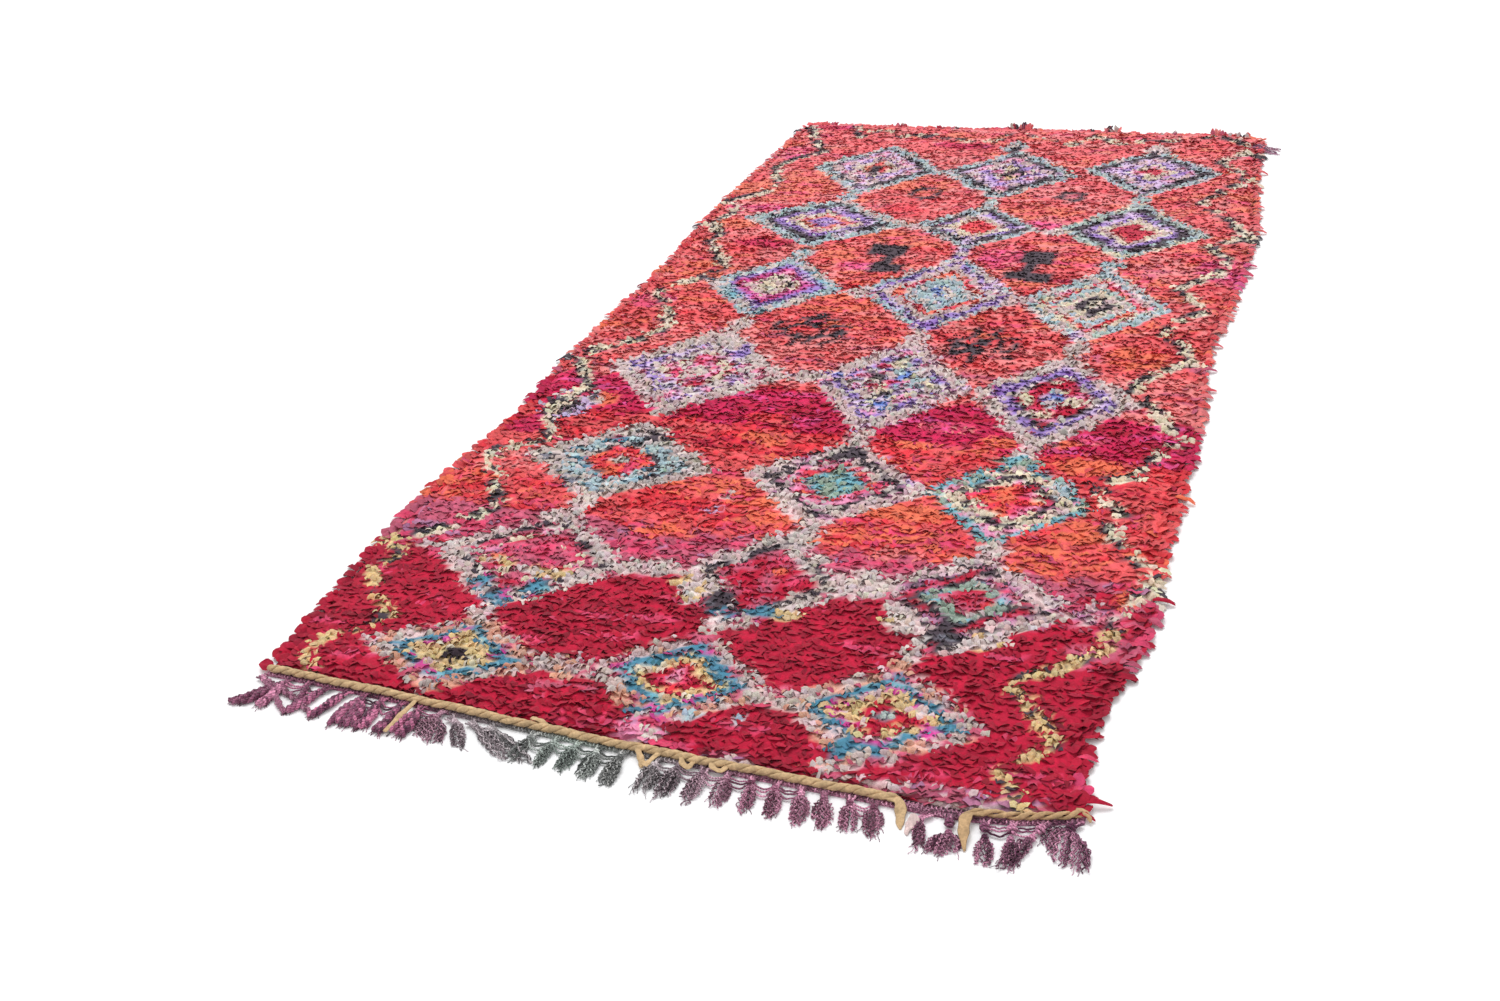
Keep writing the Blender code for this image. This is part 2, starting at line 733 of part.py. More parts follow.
def build_rug():
    """Clears the scene and builds every piece of the rug."""
    for thing in list(bpy.data.objects):
        bpy.data.objects.remove(thing)
    pieces = new_collection("boucherouite_rug")
    cutters = new_collection("cutters")
    build_pile(pieces, cutters)
    build_fringe(pieces)
    build_cord(CORD_ROWS[0], LONG_FLAP_ROWS, TAIL_PLACE_ROWS, pieces)
    build_cord(CORD_ROWS[1], SHORT_FLAP_ROWS, (), pieces)
    build_tuft(pieces)


build_rug()
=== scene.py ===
"""The looks of a boucherouite rug: rag pile, woven ground, tassels, twisted cloth cords and loose yarn.

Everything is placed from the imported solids. "across" and "along" are metres from the left
side and from the fringed end of the rug's straight 1.40 x 2.94 m rectangle.
"""

import math
import random

import bmesh
import bpy
import numpy as np
from mathutils import Euler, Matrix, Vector
from mathutils.bvhtree import BVHTree


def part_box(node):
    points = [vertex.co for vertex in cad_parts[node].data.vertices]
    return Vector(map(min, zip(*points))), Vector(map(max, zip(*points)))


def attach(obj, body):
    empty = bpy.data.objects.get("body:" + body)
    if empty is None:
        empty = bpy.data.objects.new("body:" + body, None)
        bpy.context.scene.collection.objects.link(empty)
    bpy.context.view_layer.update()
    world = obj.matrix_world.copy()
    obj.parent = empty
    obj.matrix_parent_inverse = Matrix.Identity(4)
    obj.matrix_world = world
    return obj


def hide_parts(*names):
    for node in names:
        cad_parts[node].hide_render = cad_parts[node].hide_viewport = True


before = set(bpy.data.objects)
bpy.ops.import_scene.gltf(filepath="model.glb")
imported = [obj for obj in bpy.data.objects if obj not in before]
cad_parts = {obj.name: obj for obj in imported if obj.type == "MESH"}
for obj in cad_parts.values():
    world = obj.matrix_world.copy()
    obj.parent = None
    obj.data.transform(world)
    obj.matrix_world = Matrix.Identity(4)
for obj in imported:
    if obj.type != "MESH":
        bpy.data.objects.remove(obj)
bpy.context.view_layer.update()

RUG_WIDTH = 1.40
RUG_LENGTH = 2.94

# The camera, measured from the rug's four corners in the picture
CAMERA_PLACE = (0.94472, -3.14729, 1.56113)
CAMERA_TILT = 58.985
CAMERA_TURN = 23.173
CAMERA_ROLL = -5.68
CAMERA_LENS = 37.18
SENSOR_WIDTH = 36.0

# Knots: each is two rag petals, or three curls of wool in the pale bands
KNOT_COLUMNS = 67
KNOT_ROWS = 184
KNOT_JITTER = 0.22
ROOT_HEIGHT = 0.0030
STRIP_PIECES = 10
RAG_COLUMNS = 5
RAG_ROWS = 5
CURL_COLUMNS = 3
CURL_ROWS = 6
TEMPLATE_COUNT = 20
TIP_SHIFT = 0.011
FIELD_WIDTH = (0.023, 0.035)
FIELD_REACH = (0.018, 0.026)
FINE_WIDTH = (0.015, 0.022)
FINE_REACH = (0.014, 0.020)
SINGLE_SHARE = 0.22
FAR_START = 1.12
FAR_NARROWING = 0.76
FAR_SIDES = (-1, 0, 1)
FAR_ROWS = 4
FAR_COLUMNS = 4
CURL_WIDTH = (0.013, 0.018)
CURL_REACH = (0.012, 0.020)
CURL_PAIR_SHARE = 0.78
LOCK_WIDTH = (0.012, 0.020)
LOCK_PITCH = 0.0125
LOCK_REACH = (0.018, 0.038)
ROOT_COLUMNS = 84
ROOT_ROWS = 212
ROOT_SHARE = 0.80
WOOL_ROOT_SHARE = 0.66
FAR_ROOT_RISE = 0.08
HOLE_ACROSS = 0.099
HOLE_ALONG = 0.973
HOLE_HALF_ACROSS = 0.019
HOLE_HALF_ALONG = 0.015

# Ground cloth, cords and fringe
GROUND_THICKNESS = 0.003
CORD_HALF_WIDTH = 0.0066
GAP = 0.0003

# Tones as red, green and blue of a screen from 0 to 255
PALETTE = {
    "crimson": (168, 10, 48),
    "deep_crimson": (140, 8, 40),
    "raspberry": (192, 24, 78),
    "dusty_rose": (182, 82, 108),
    "rose": (204, 62, 100),
    "coral": (214, 80, 84),
    "red": (208, 46, 58),
    "orange": (228, 104, 76),
    "salmon": (224, 118, 118),
    "pink": (226, 132, 166),
    "hot_pink": (214, 70, 132),
    "magenta": (192, 60, 138),
    "pale_beige": (212, 194, 192),
    "pink_beige": (210, 180, 182),
    "grey_beige": (190, 174, 170),
    "cream": (222, 206, 182),
    "peach": (206, 148, 126),
    "yellow": (214, 182, 130),
    "teal_blue": (68, 122, 146),
    "turquoise": (108, 162, 176),
    "light_teal": (164, 188, 196),
    "mint": (174, 194, 190),
    "cobalt": (90, 118, 186),
    "violet": (142, 114, 182),
    "purple": (108, 62, 142),
    "lilac": (190, 166, 202),
    "mauve": (170, 112, 146),
    "charcoal": (68, 57, 66),
    "black": (44, 30, 40),
    "slate": (122, 122, 134),
    "grey_green": (146, 166, 152),
    "olive": (146, 140, 122),
}
WOOLS = (
    "pale_beige", "pink_beige", "grey_beige", "cream", "peach",
    "light_teal", "mint", "grey_green", "yellow",
)

# What each zone's knots are picked from, as tone and share
MIXES = {
    "crimson": (("crimson", 0.86), ("deep_crimson", 0.10), ("rose", 0.04)),
    "crimson_rose": (("crimson", 0.50), ("dusty_rose", 0.38), ("rose", 0.12)),
    "dusty_rose": (("dusty_rose", 0.70), ("rose", 0.22), ("mauve", 0.08)),
    "coral": (("coral", 0.66), ("red", 0.16), ("orange", 0.10), ("rose", 0.08)),
    "coral_orange": (("orange", 0.66), ("coral", 0.28), ("rose", 0.06)),
    "orange": (("orange", 0.80), ("coral", 0.20)),
    "red_coral": (("red", 0.50), ("coral", 0.34), ("crimson", 0.16)),
    "raspberry": (("raspberry", 0.66), ("crimson", 0.26), ("hot_pink", 0.08)),
    "salmon": (("salmon", 0.56), ("coral", 0.34), ("dusty_rose", 0.10)),
    "far_red": (("coral", 0.58), ("salmon", 0.22), ("red", 0.07), ("orange", 0.10), ("rose", 0.03)),
    "pink_red": (("rose", 0.46), ("salmon", 0.28), ("hot_pink", 0.26)),
    "beige": (("pale_beige", 0.46), ("pink_beige", 0.30), ("grey_beige", 0.16), ("dusty_rose", 0.08)),
    "beige_peach": (("grey_beige", 0.34), ("pink_beige", 0.22), ("peach", 0.26), ("dusty_rose", 0.18)),
    "beige_grey": (("grey_beige", 0.46), ("pale_beige", 0.40), ("olive", 0.08), ("slate", 0.06)),
    "beige_pink": (("pink_beige", 0.48), ("pale_beige", 0.36), ("mauve", 0.10), ("lilac", 0.06)),
    "beige_yellow": (("pale_beige", 0.40), ("yellow", 0.50), ("grey_beige", 0.10)),
    "light_teal": (("light_teal", 0.58), ("pale_beige", 0.30), ("mint", 0.12)),
    "teal_beige": (("light_teal", 0.34), ("pale_beige", 0.50), ("turquoise", 0.16)),
    "mint": (("mint", 0.50), ("light_teal", 0.26), ("cream", 0.24)),
    "teal_blue": (("teal_blue", 0.78), ("turquoise", 0.08), ("dusty_rose", 0.06), ("magenta", 0.08)),
    "teal_magenta": (("teal_blue", 0.58), ("magenta", 0.26), ("pink_beige", 0.16)),
    "yellow": (("yellow", 0.82), ("cream", 0.18)),
    "yellow_magenta": (("yellow", 0.52), ("magenta", 0.36), ("pink_beige", 0.12)),
    "yellow_red": (("yellow", 0.56), ("crimson", 0.34), ("pink_beige", 0.10)),
    "magenta": (("magenta", 0.72), ("pink", 0.16), ("crimson", 0.12)),
    "red": (("crimson", 0.74), ("red", 0.26)),
    "red_orange": (("red", 0.56), ("orange", 0.24), ("rose", 0.20)),
    "pink_mix": (("pink", 0.40), ("rose", 0.26), ("pale_beige", 0.20), ("mauve", 0.14)),
    "crimson_cream": (("crimson", 0.34), ("rose", 0.20), ("cream", 0.30), ("pink", 0.16)),
    "charcoal": (("charcoal", 0.90), ("slate", 0.10)),
    "charcoal_beige": (("charcoal", 0.60), ("grey_beige", 0.26), ("pale_beige", 0.18)),
    "charcoal_chunks": (("charcoal", 0.70), ("grey_beige", 0.14), ("pale_beige", 0.16)),
    "charcoal_lilac": (("charcoal", 0.80), ("lilac", 0.08), ("light_teal", 0.12)),
    "charcoal_mauve": (("charcoal", 0.50), ("mauve", 0.26), ("pink_beige", 0.24)),
    "charcoal_blue": (("charcoal", 0.36), ("light_teal", 0.24), ("teal_blue", 0.18), ("grey_beige", 0.22)),
    "charcoal_cream": (("charcoal", 0.68), ("cream", 0.32)),
    "grey_lilac": (("slate", 0.24), ("lilac", 0.30), ("pale_beige", 0.30), ("mauve", 0.16)),
    "violet": (("violet", 0.62), ("lilac", 0.26), ("purple", 0.12)),
    "violet_beige": (("violet", 0.36), ("lilac", 0.26), ("pale_beige", 0.28), ("pink", 0.10)),
    "violet_blue": (("violet", 0.36), ("cobalt", 0.16), ("lilac", 0.30), ("pink_beige", 0.18)),
    "lilac_pink": (("lilac", 0.38), ("pink_beige", 0.40), ("pink", 0.22)),
    "cream": (("cream", 0.66), ("pink_beige", 0.34)),
    "cream_pink": (("cream", 0.46), ("pink", 0.30), ("pink_beige", 0.24)),
    "cobalt_mix": (("cobalt", 0.28), ("light_teal", 0.20), ("pale_beige", 0.32), ("lilac", 0.20)),
    "confetti": (
        ("cobalt", 0.07),
        ("lilac", 0.14),
        ("pale_beige", 0.22),
        ("pink", 0.12),
        ("rose", 0.12),
        ("light_teal", 0.10),
        ("cream", 0.10),
        ("olive", 0.08),
        ("charcoal", 0.05),
    ),
    "grey_green": (("grey_green", 0.60), ("turquoise", 0.20), ("pale_beige", 0.20)),
    "turquoise": (("turquoise", 0.72), ("grey_green", 0.28)),
    "black": (("black", 1.0),),
    "slate": (("slate", 0.70), ("mint", 0.30)),
    "orange_dark": (("orange", 0.60), ("red", 0.20), ("charcoal", 0.20)),
    "spray": (("charcoal", 0.40), ("cream", 0.28), ("yellow", 0.14), ("pink", 0.18)),
    "pale_patch": (("mauve", 0.30), ("pink_beige", 0.26), ("dusty_rose", 0.44)),
    "torn": (("charcoal", 0.28), ("lilac", 0.26), ("raspberry", 0.26), ("pale_beige", 0.20)),
}

# Rings of each diamond, from its centre out: the ring's outer edge as a share, and its mix
RINGS = {
    "near_left": (
        (0.19, "black"),
        (0.42, "yellow"),
        (0.52, "yellow_magenta"),
        (0.72, "teal_blue"),
        (1.0, "beige_peach"),
    ),
    "near_middle": (
        (0.16, "pink_mix"),
        (0.36, "red"),
        (0.50, "yellow"),
        (0.74, "teal_blue"),
        (1.0, "beige_peach"),
    ),
    "near_right": (
        (0.12, "slate"),
        (0.26, "red"),
        (0.42, "yellow_red"),
        (0.54, "yellow_magenta"),
        (0.74, "teal_blue"),
        (1.0, "beige_peach"),
    ),
    "second_left": (
        (0.46, "dusty_rose"),
        (0.57, "crimson_cream"),
        (0.67, "dusty_rose"),
        (0.81, "charcoal_beige"),
        (1.0, "beige"),
    ),
    "second_middle": (
        (0.60, "crimson_rose"),
        (0.80, "charcoal_chunks"),
        (1.0, "beige"),
    ),
    "second_right": (
        (0.26, "crimson_rose"),
        (0.40, "grey_green"),
        (0.52, "charcoal_mauve"),
        (0.62, "crimson_rose"),
        (0.78, "charcoal_mauve"),
        (1.0, "beige"),
    ),
    "third_left": (
        (0.12, "beige_grey"),
        (0.40, "red_orange"),
        (0.52, "charcoal_blue"),
        (0.64, "light_teal"),
        (0.78, "charcoal_blue"),
        (1.0, "beige_grey"),
    ),
    "third_middle": (
        (0.34, "turquoise"),
        (0.46, "red_orange"),
        (0.60, "pink_mix"),
        (0.76, "charcoal_beige"),
        (1.0, "beige_pink"),
    ),
    "third_right": (
        (0.40, "red_orange"),
        (0.54, "crimson_cream"),
        (0.68, "charcoal_cream"),
        (0.84, "cream_pink"),
        (1.0, "turquoise"),
    ),
    "fourth_left": (
        (0.14, "beige"),
        (0.28, "pink_mix"),
        (0.44, "crimson_cream"),
        (0.56, "grey_lilac"),
        (0.72, "violet_beige"),
        (1.0, "beige"),
    ),
    "fourth_middle": (
        (0.60, "confetti"),
        (0.76, "violet_beige"),
        (1.0, "beige_pink"),
    ),
    "fourth_right": (
        (0.18, "cobalt_mix"),
        (0.48, "crimson_cream"),
        (0.60, "charcoal_beige"),
        (0.74, "violet"),
        (1.0, "beige"),
    ),
    "fifth_left": (
        (0.14, "cream"),
        (0.28, "charcoal_cream"),
        (0.42, "cream_pink"),
        (0.58, "magenta"),
        (0.74, "violet"),
        (1.0, "teal_beige"),
    ),
    "fifth_middle": (
        (0.26, "cobalt_mix"),
        (0.48, "light_teal"),
        (0.60, "red_orange"),
        (0.74, "beige"),
        (0.88, "violet"),
        (1.0, "teal_beige"),
    ),
    "fifth_right": (
        (0.12, "cream"),
        (0.28, "charcoal"),
        (0.44, "cream"),
        (0.56, "light_teal"),
        (0.68, "red_orange"),
        (0.80, "cream_pink"),
        (1.0, "light_teal"),
    ),
    "sixth": (
        (0.22, "violet"),
        (0.34, "orange"),
        (0.48, "cream_pink"),
        (0.64, "violet"),
        (0.84, "charcoal_lilac"),
        (1.0, "light_teal"),
    ),
    "sixth_middle": (
        (0.38, "red_orange"),
        (0.50, "cream"),
        (0.64, "violet_beige"),
        (0.85, "charcoal_lilac"),
        (1.0, "light_teal"),
    ),
    "sixth_right": (
        (0.34, "red"),
        (0.50, "cream"),
        (0.64, "violet"),
        (0.85, "charcoal_lilac"),
        (1.0, "mint"),
    ),
    "far": (
        (0.24, "orange_dark"),
        (0.36, "cream"),
        (0.50, "violet_beige"),
        (0.68, "lilac_pink"),
        (0.86, "charcoal_lilac"),
        (1.0, "light_teal"),
    ),
    "far_middle": (
        (0.32, "spray"),
        (0.52, "violet_beige"),
        (0.68, "lilac_pink"),
        (0.87, "charcoal_lilac"),
        (1.0, "light_teal"),
    ),
    "far_right": (
        (0.22, "red"),
        (0.36, "cream_pink"),
        (0.52, "violet"),
        (0.69, "lilac_pink"),
        (0.88, "charcoal_lilac"),
        (1.0, "light_teal"),
    ),
}

DIAMOND_COLUMNS = ("across", "along", "half_width", "half_down", "half_up", "rings")
DIAMOND_ROWS = (
    (0.305, 0.100, 0.185, 0.105, 0.118, "near_left"),
    (0.710, 0.125, 0.170, 0.130, 0.140, "near_middle"),
    (1.060, 0.120, 0.178, 0.135, 0.140, "near_right"),
    (0.298, 0.405, 0.205, 0.175, 0.180, "second_left"),
    (0.755, 0.435, 0.172, 0.155, 0.170, "second_middle"),
    (1.118, 0.450, 0.192, 0.165, 0.160, "second_right"),
    (0.312, 0.775, 0.215, 0.170, 0.170, "third_left"),
    (0.772, 0.785, 0.195, 0.178, 0.170, "third_middle"),
    (1.113, 0.790, 0.165, 0.165, 0.162, "third_right"),
    (0.318, 1.195, 0.222, 0.225, 0.222, "fourth_left"),
    (0.768, 1.205, 0.185, 0.235, 0.230, "fourth_middle"),
    (1.122, 1.205, 0.178, 0.238, 0.218, "fourth_right"),
    (0.332, 1.680, 0.182, 0.205, 0.182, "fifth_left"),
    (0.755, 1.685, 0.205, 0.215, 0.240, "fifth_middle"),
    (1.125, 1.680, 0.178, 0.215, 0.215, "fifth_right"),
    (0.328, 2.105, 0.235, 0.178, 0.178, "sixth"),
    (0.745, 2.120, 0.172, 0.152, 0.165, "sixth_middle"),
    (1.145, 2.140, 0.192, 0.190, 0.212, "sixth_right"),
    (0.350, 2.530, 0.200, 0.220, 0.212, "far"),
    (0.742, 2.530, 0.195, 0.210, 0.195, "far_middle"),
    (1.135, 2.588, 0.190, 0.205, 0.180, "far_right"),
)

# Small diamonds laid over the large ones, and over the red between them
ACCENT_COLUMNS = ("across", "along", "half_width", "half_down", "half_up", "mix")
ACCENT_ROWS = (
    (0.300, 0.500, 0.022, 0.030, 0.030, "pink_mix"),
    (0.520, 0.112, 0.105, 0.030, 0.034, "beige_peach"),
    (0.895, 0.122, 0.050, 0.030, 0.030, "beige_peach"),
    (0.700, 0.000, 0.052, 0.060, 0.040, "pink_mix"),
    (0.700, 0.030, 0.048, 0.018, 0.028, "teal_magenta"),
    (1.022, 0.025, 0.026, 0.030, 0.045, "teal_blue"),
    (1.022, -0.020, 0.034, 0.030, 0.040, "beige_peach"),
    (0.292, 0.222, 0.030, 0.030, 0.030, "beige"),
    (0.300, 0.262, 0.040, 0.030, 0.036, "teal_magenta"),
    (0.245, 0.308, 0.024, 0.030, 0.036, "teal_blue"),
    (0.350, 0.312, 0.030, 0.030, 0.036, "teal_blue"),
    (0.350, 0.362, 0.090, 0.016, 0.020, "beige_yellow"),
    (0.240, 0.375, 0.040, 0.018, 0.024, "yellow_red"),
    (0.715, 0.285, 0.026, 0.034, 0.034, "beige"),
    (0.720, 0.315, 0.034, 0.018, 0.026, "teal_blue"),
    (0.782, 0.335, 0.036, 0.026, 0.030, "teal_blue"),
    (0.640, 0.395, 0.050, 0.070, 0.030, "beige_yellow"),
    (0.690, 0.345, 0.026, 0.040, 0.050, "charcoal"),
    (0.820, 0.345, 0.040, 0.024, 0.030, "beige_yellow"),
    (1.025, 0.365, 0.040, 0.040, 0.034, "beige_yellow"),
    (1.100, 0.335, 0.040, 0.040, 0.060, "charcoal"),
    (1.175, 0.345, 0.040, 0.030, 0.030, "beige_yellow"),
    (1.065, 0.278, 0.026, 0.030, 0.040, "beige"),
    (0.545, 0.425, 0.110, 0.028, 0.030, "beige"),
    (0.930, 0.460, 0.065, 0.050, 0.050, "beige"),
    (1.330, 0.460, 0.070, 0.030, 0.034, "pale_patch"),
    (0.120, 0.405, 0.080, 0.022, 0.022, "beige"),
    (0.310, 0.600, 0.034, 0.040, 0.034, "beige"),
    (0.782, 0.602, 0.034, 0.040, 0.034, "beige"),
    (1.125, 0.615, 0.034, 0.030, 0.034, "beige"),
    (0.280, 0.855, 0.032, 0.020, 0.022, "teal_blue"),
    (0.345, 0.880, 0.050, 0.022, 0.030, "charcoal_beige"),
    (0.760, 0.890, 0.070, 0.030, 0.050, "charcoal_beige"),
    (0.780, 0.775, 0.066, 0.062, 0.064, "turquoise"),
    (1.105, 0.930, 0.055, 0.022, 0.036, "turquoise"),
    (1.040, 0.860, 0.026, 0.040, 0.040, "turquoise"),
    (1.205, 0.850, 0.034, 0.034, 0.034, "light_teal"),
    (0.770, 0.965, 0.036, 0.040, 0.040, "beige"),
    (1.112, 0.965, 0.036, 0.034, 0.040, "beige"),
    (0.165, 1.205, 0.026, 0.036, 0.036, "violet_blue"),
    (0.385, 1.300, 0.024, 0.056, 0.046, "violet"),
    (0.575, 1.210, 0.050, 0.034, 0.034, "beige_pink"),
    (0.785, 1.265, 0.022, 0.070, 0.060, "cobalt_mix"),
    (0.770, 1.120, 0.024, 0.050, 0.040, "cobalt_mix"),
    (0.628, 1.225, 0.024, 0.026, 0.030, "violet_blue"),
    (1.010, 1.235, 0.026, 0.050, 0.040, "violet"),
    (1.237, 1.195, 0.020, 0.050, 0.040, "violet"),
    (0.328, 1.445, 0.034, 0.050, 0.050, "beige"),
    (0.765, 1.445, 0.030, 0.040, 0.050, "beige"),
    (1.125, 1.445, 0.034, 0.050, 0.050, "beige"),
    (0.765, 1.505, 0.034, 0.026, 0.034, "violet"),
    (1.112, 1.510, 0.020, 0.022, 0.030, "violet"),
    (0.555, 1.665, 0.050, 0.028, 0.028, "beige"),
    (0.957, 1.685, 0.050, 0.028, 0.028, "beige"),
    (0.870, 1.745, 0.030, 0.060, 0.060, "violet_beige"),
    (0.650, 1.690, 0.018, 0.050, 0.034, "orange"),
    (0.745, 1.930, 0.028, 0.060, 0.060, "violet_beige"),
    (0.340, 1.885, 0.036, 0.040, 0.044, "teal_beige"),
    (1.130, 1.915, 0.036, 0.040, 0.044, "teal_beige"),
    (0.582, 2.108, 0.044, 0.024, 0.024, "beige"),
    (0.948, 2.112, 0.044, 0.024, 0.024, "beige"),
    (0.335, 2.292, 0.030, 0.030, 0.030, "light_teal"),
    (0.742, 2.300, 0.028, 0.034, 0.034, "light_teal"),
    (1.136, 2.368, 0.030, 0.030, 0.030, "light_teal"),
    (0.723, 2.730, 0.022, 0.060, 0.060, "charcoal"),
    (0.715, 2.745, 0.040, 0.070, 0.065, "light_teal"),
    (1.120, 2.735, 0.016, 0.034, 0.040, "charcoal"),
    (1.125, 2.765, 0.040, 0.044, 0.050, "beige"),
)

# The red field, from the near end to the far end
# Columns: along, mix
FIELD_ROWS = (
    (-1.00, "crimson"),
    (0.405, "crimson_rose"),
    (0.445, "dusty_rose"),
    (0.555, "coral"),
    (0.860, "red_coral"),
    (0.975, "raspberry"),
    (1.140, "salmon"),
    (1.420, "far_red"),
)

# Patches of other rag in the field
# Columns: across, along, half_across, half_along, mix
PATCH_ROWS = (
    (0.050, 0.490, 0.120, 0.070, "dusty_rose"),
    (0.540, 0.050, 0.070, 0.024, "crimson_rose"),
    (0.850, -0.032, 0.034, 0.018, "pale_patch"),
    (1.240, -0.030, 0.160, 0.022, "pale_patch"),
    (1.050, 0.262, 0.060, 0.014, "crimson_rose"),
    (0.580, 0.275, 0.060, 0.012, "crimson_rose"),
    (1.350, 0.420, 0.060, 0.120, "crimson_rose"),
    (0.510, 0.540, 0.060, 0.022, "coral_orange"),
    (0.700, 0.630, 0.050, 0.024, "coral_orange"),
    (0.520, 0.645, 0.120, 0.050, "red_coral"),
    (0.580, 0.690, 0.120, 0.024, "coral_orange"),
    (0.950, 0.560, 0.060, 0.020, "salmon"),
    (0.950, 0.620, 0.100, 0.034, "coral_orange"),
    (0.930, 0.715, 0.110, 0.040, "orange"),
    (1.230, 0.620, 0.080, 0.034, "coral_orange"),
    (1.270, 0.710, 0.060, 0.040, "coral_orange"),
    (0.080, 0.740, 0.080, 0.050, "salmon"),
    (0.050, 0.890, 0.040, 0.050, "raspberry"),
    (0.150, 0.880, 0.070, 0.040, "red_coral"),
    (0.580, 0.920, 0.050, 0.026, "coral_orange"),
    (0.520, 0.870, 0.080, 0.030, "red_coral"),
    (0.950, 0.955, 0.100, 0.020, "coral_orange"),
    (0.930, 0.880, 0.080, 0.030, "coral"),
    (1.240, 0.940, 0.070, 0.030, "orange"),
    (1.350, 0.850, 0.060, 0.050, "red_coral"),
    (0.160, 1.020, 0.034, 0.034, "orange"),
    (1.045, 1.005, 0.040, 0.022, "orange"),
    (1.170, 1.020, 0.030, 0.022, "orange"),
    (0.560, 1.010, 0.060, 0.020, "red_coral"),
    (0.925, 1.045, 0.060, 0.026, "pink_red"),
    (1.230, 1.045, 0.040, 0.020, "pink_red"),
    (0.040, 1.050, 0.060, 0.080, "raspberry"),
    (0.050, 1.280, 0.080, 0.070, "salmon"),
    (0.050, 1.405, 0.070, 0.030, "orange"),
    (0.540, 1.290, 0.100, 0.070, "salmon"),
    (1.380, 1.280, 0.060, 0.120, "salmon"),
    (1.260, 1.420, 0.070, 0.050, "coral_orange"),
    (0.060, 1.540, 0.060, 0.050, "pink_red"),
    (0.520, 1.600, 0.110, 0.050, "coral_orange"),
    (0.090, 1.740, 0.090, 0.060, "coral_orange"),
    (0.490, 1.820, 0.050, 0.030, "pink_red"),
    (0.220, 1.930, 0.080, 0.030, "raspberry"),
    (0.430, 1.890, 0.050, 0.060, "coral_orange"),
    (0.860, 1.930, 0.070, 0.060, "pink_red"),
    (1.030, 1.930, 0.070, 0.050, "coral_orange"),
    (1.260, 1.900, 0.080, 0.050, "salmon"),
    (1.390, 1.930, 0.060, 0.080, "pink_red"),
    (0.080, 2.055, 0.070, 0.034, "orange"),
    (0.520, 2.030, 0.080, 0.040, "coral_orange"),
    (0.880, 2.250, 0.110, 0.060, "coral_orange"),
    (0.930, 2.170, 0.060, 0.050, "pink_red"),
    (0.520, 2.210, 0.070, 0.050, "red_coral"),
    (0.110, 2.180, 0.090, 0.040, "pink_red"),
    (0.150, 2.390, 0.110, 0.100, "coral_orange"),
    (0.030, 2.340, 0.050, 0.060, "orange"),
    (0.500, 2.400, 0.110, 0.080, "coral_orange"),
    (0.920, 2.380, 0.100, 0.080, "salmon"),
    (1.410, 2.400, 0.050, 0.090, "coral_orange"),
    (0.060, 2.640, 0.060, 0.060, "pink_red"),
    (0.040, 2.740, 0.030, 0.050, "orange"),
    (0.580, 2.665, 0.080, 0.040, "salmon"),
    (0.560, 2.755, 0.110, 0.022, "raspberry"),
    (0.100, 2.880, 0.080, 0.030, "raspberry"),
    (0.540, 2.850, 0.070, 0.030, "orange"),
    (0.095, 0.995, 0.060, 0.070, "torn"),
)

# Broken lines of knots: their corners as across and along
LINE_HALF_WIDTH = 0.0165
NEAR_LINE_HALF_WIDTH = 0.0125
LINE_PALE_START = 0.0035
LINE_BREAK = 0.16
LINE_SIDE_SHARE = 0.66
NEAR_LINE_END = 0.42
LEFT_LINE = (
    (0.100, -0.030),
    (0.040, 0.050),
    (0.050, 0.090),
    (0.132, 0.170),
    (0.070, 0.230),
    (0.015, 0.305),
    (0.045, 0.360),
    (-0.010, 0.400),
    (0.080, 0.470),
    (0.145, 0.550),
    (0.110, 0.620),
    (0.060, 0.690),
    (0.025, 0.760),
    (0.120, 0.835),
    (0.090, 0.890),
    (0.060, 0.950),
    (0.105, 1.070),
    (0.060, 1.135),
    (0.010, 1.205),
    (0.030, 1.250),
    (0.120, 1.325),
    (0.155, 1.385),
    (0.135, 1.460),
    (0.120, 1.500),
    (0.050, 1.590),
    (0.070, 1.635),
    (0.120, 1.685),
    (0.158, 1.765),
    (0.110, 1.850),
    (0.060, 1.910),
    (0.080, 1.955),
    (0.015, 2.060),
    (0.055, 2.150),
    (0.005, 2.230),
    (0.080, 2.300),
    (0.100, 2.370),
    (0.040, 2.510),
    (0.070, 2.580),
    (0.150, 2.655),
    (0.100, 2.730),
    (0.025, 2.900),
)
RIGHT_LINE = (
    (1.305, -0.020),
    (1.270, 0.040),
    (1.330, 0.125),
    (1.235, 0.250),
    (1.310, 0.310),
    (1.365, 0.370),
    (1.370, 0.500),
    (1.420, 0.590),
    (1.370, 0.640),
    (1.310, 0.725),
    (1.325, 0.780),
    (1.260, 0.880),
    (1.330, 0.930),
    (1.390, 1.085),
    (1.350, 1.160),
    (1.270, 1.275),
    (1.285, 1.325),
    (1.372, 1.430),
    (1.350, 1.500),
    (1.300, 1.550),
    (1.310, 1.610),
    (1.372, 1.690),
    (1.300, 1.815),
    (1.380, 1.900),
    (1.398, 2.000),
    (1.340, 2.070),
    (1.430, 2.150),
    (1.360, 2.275),
    (1.290, 2.360),
    (1.370, 2.510),
    (1.392, 2.580),
    (1.300, 2.685),
    (1.380, 2.780),
    (1.340, 2.880),
)
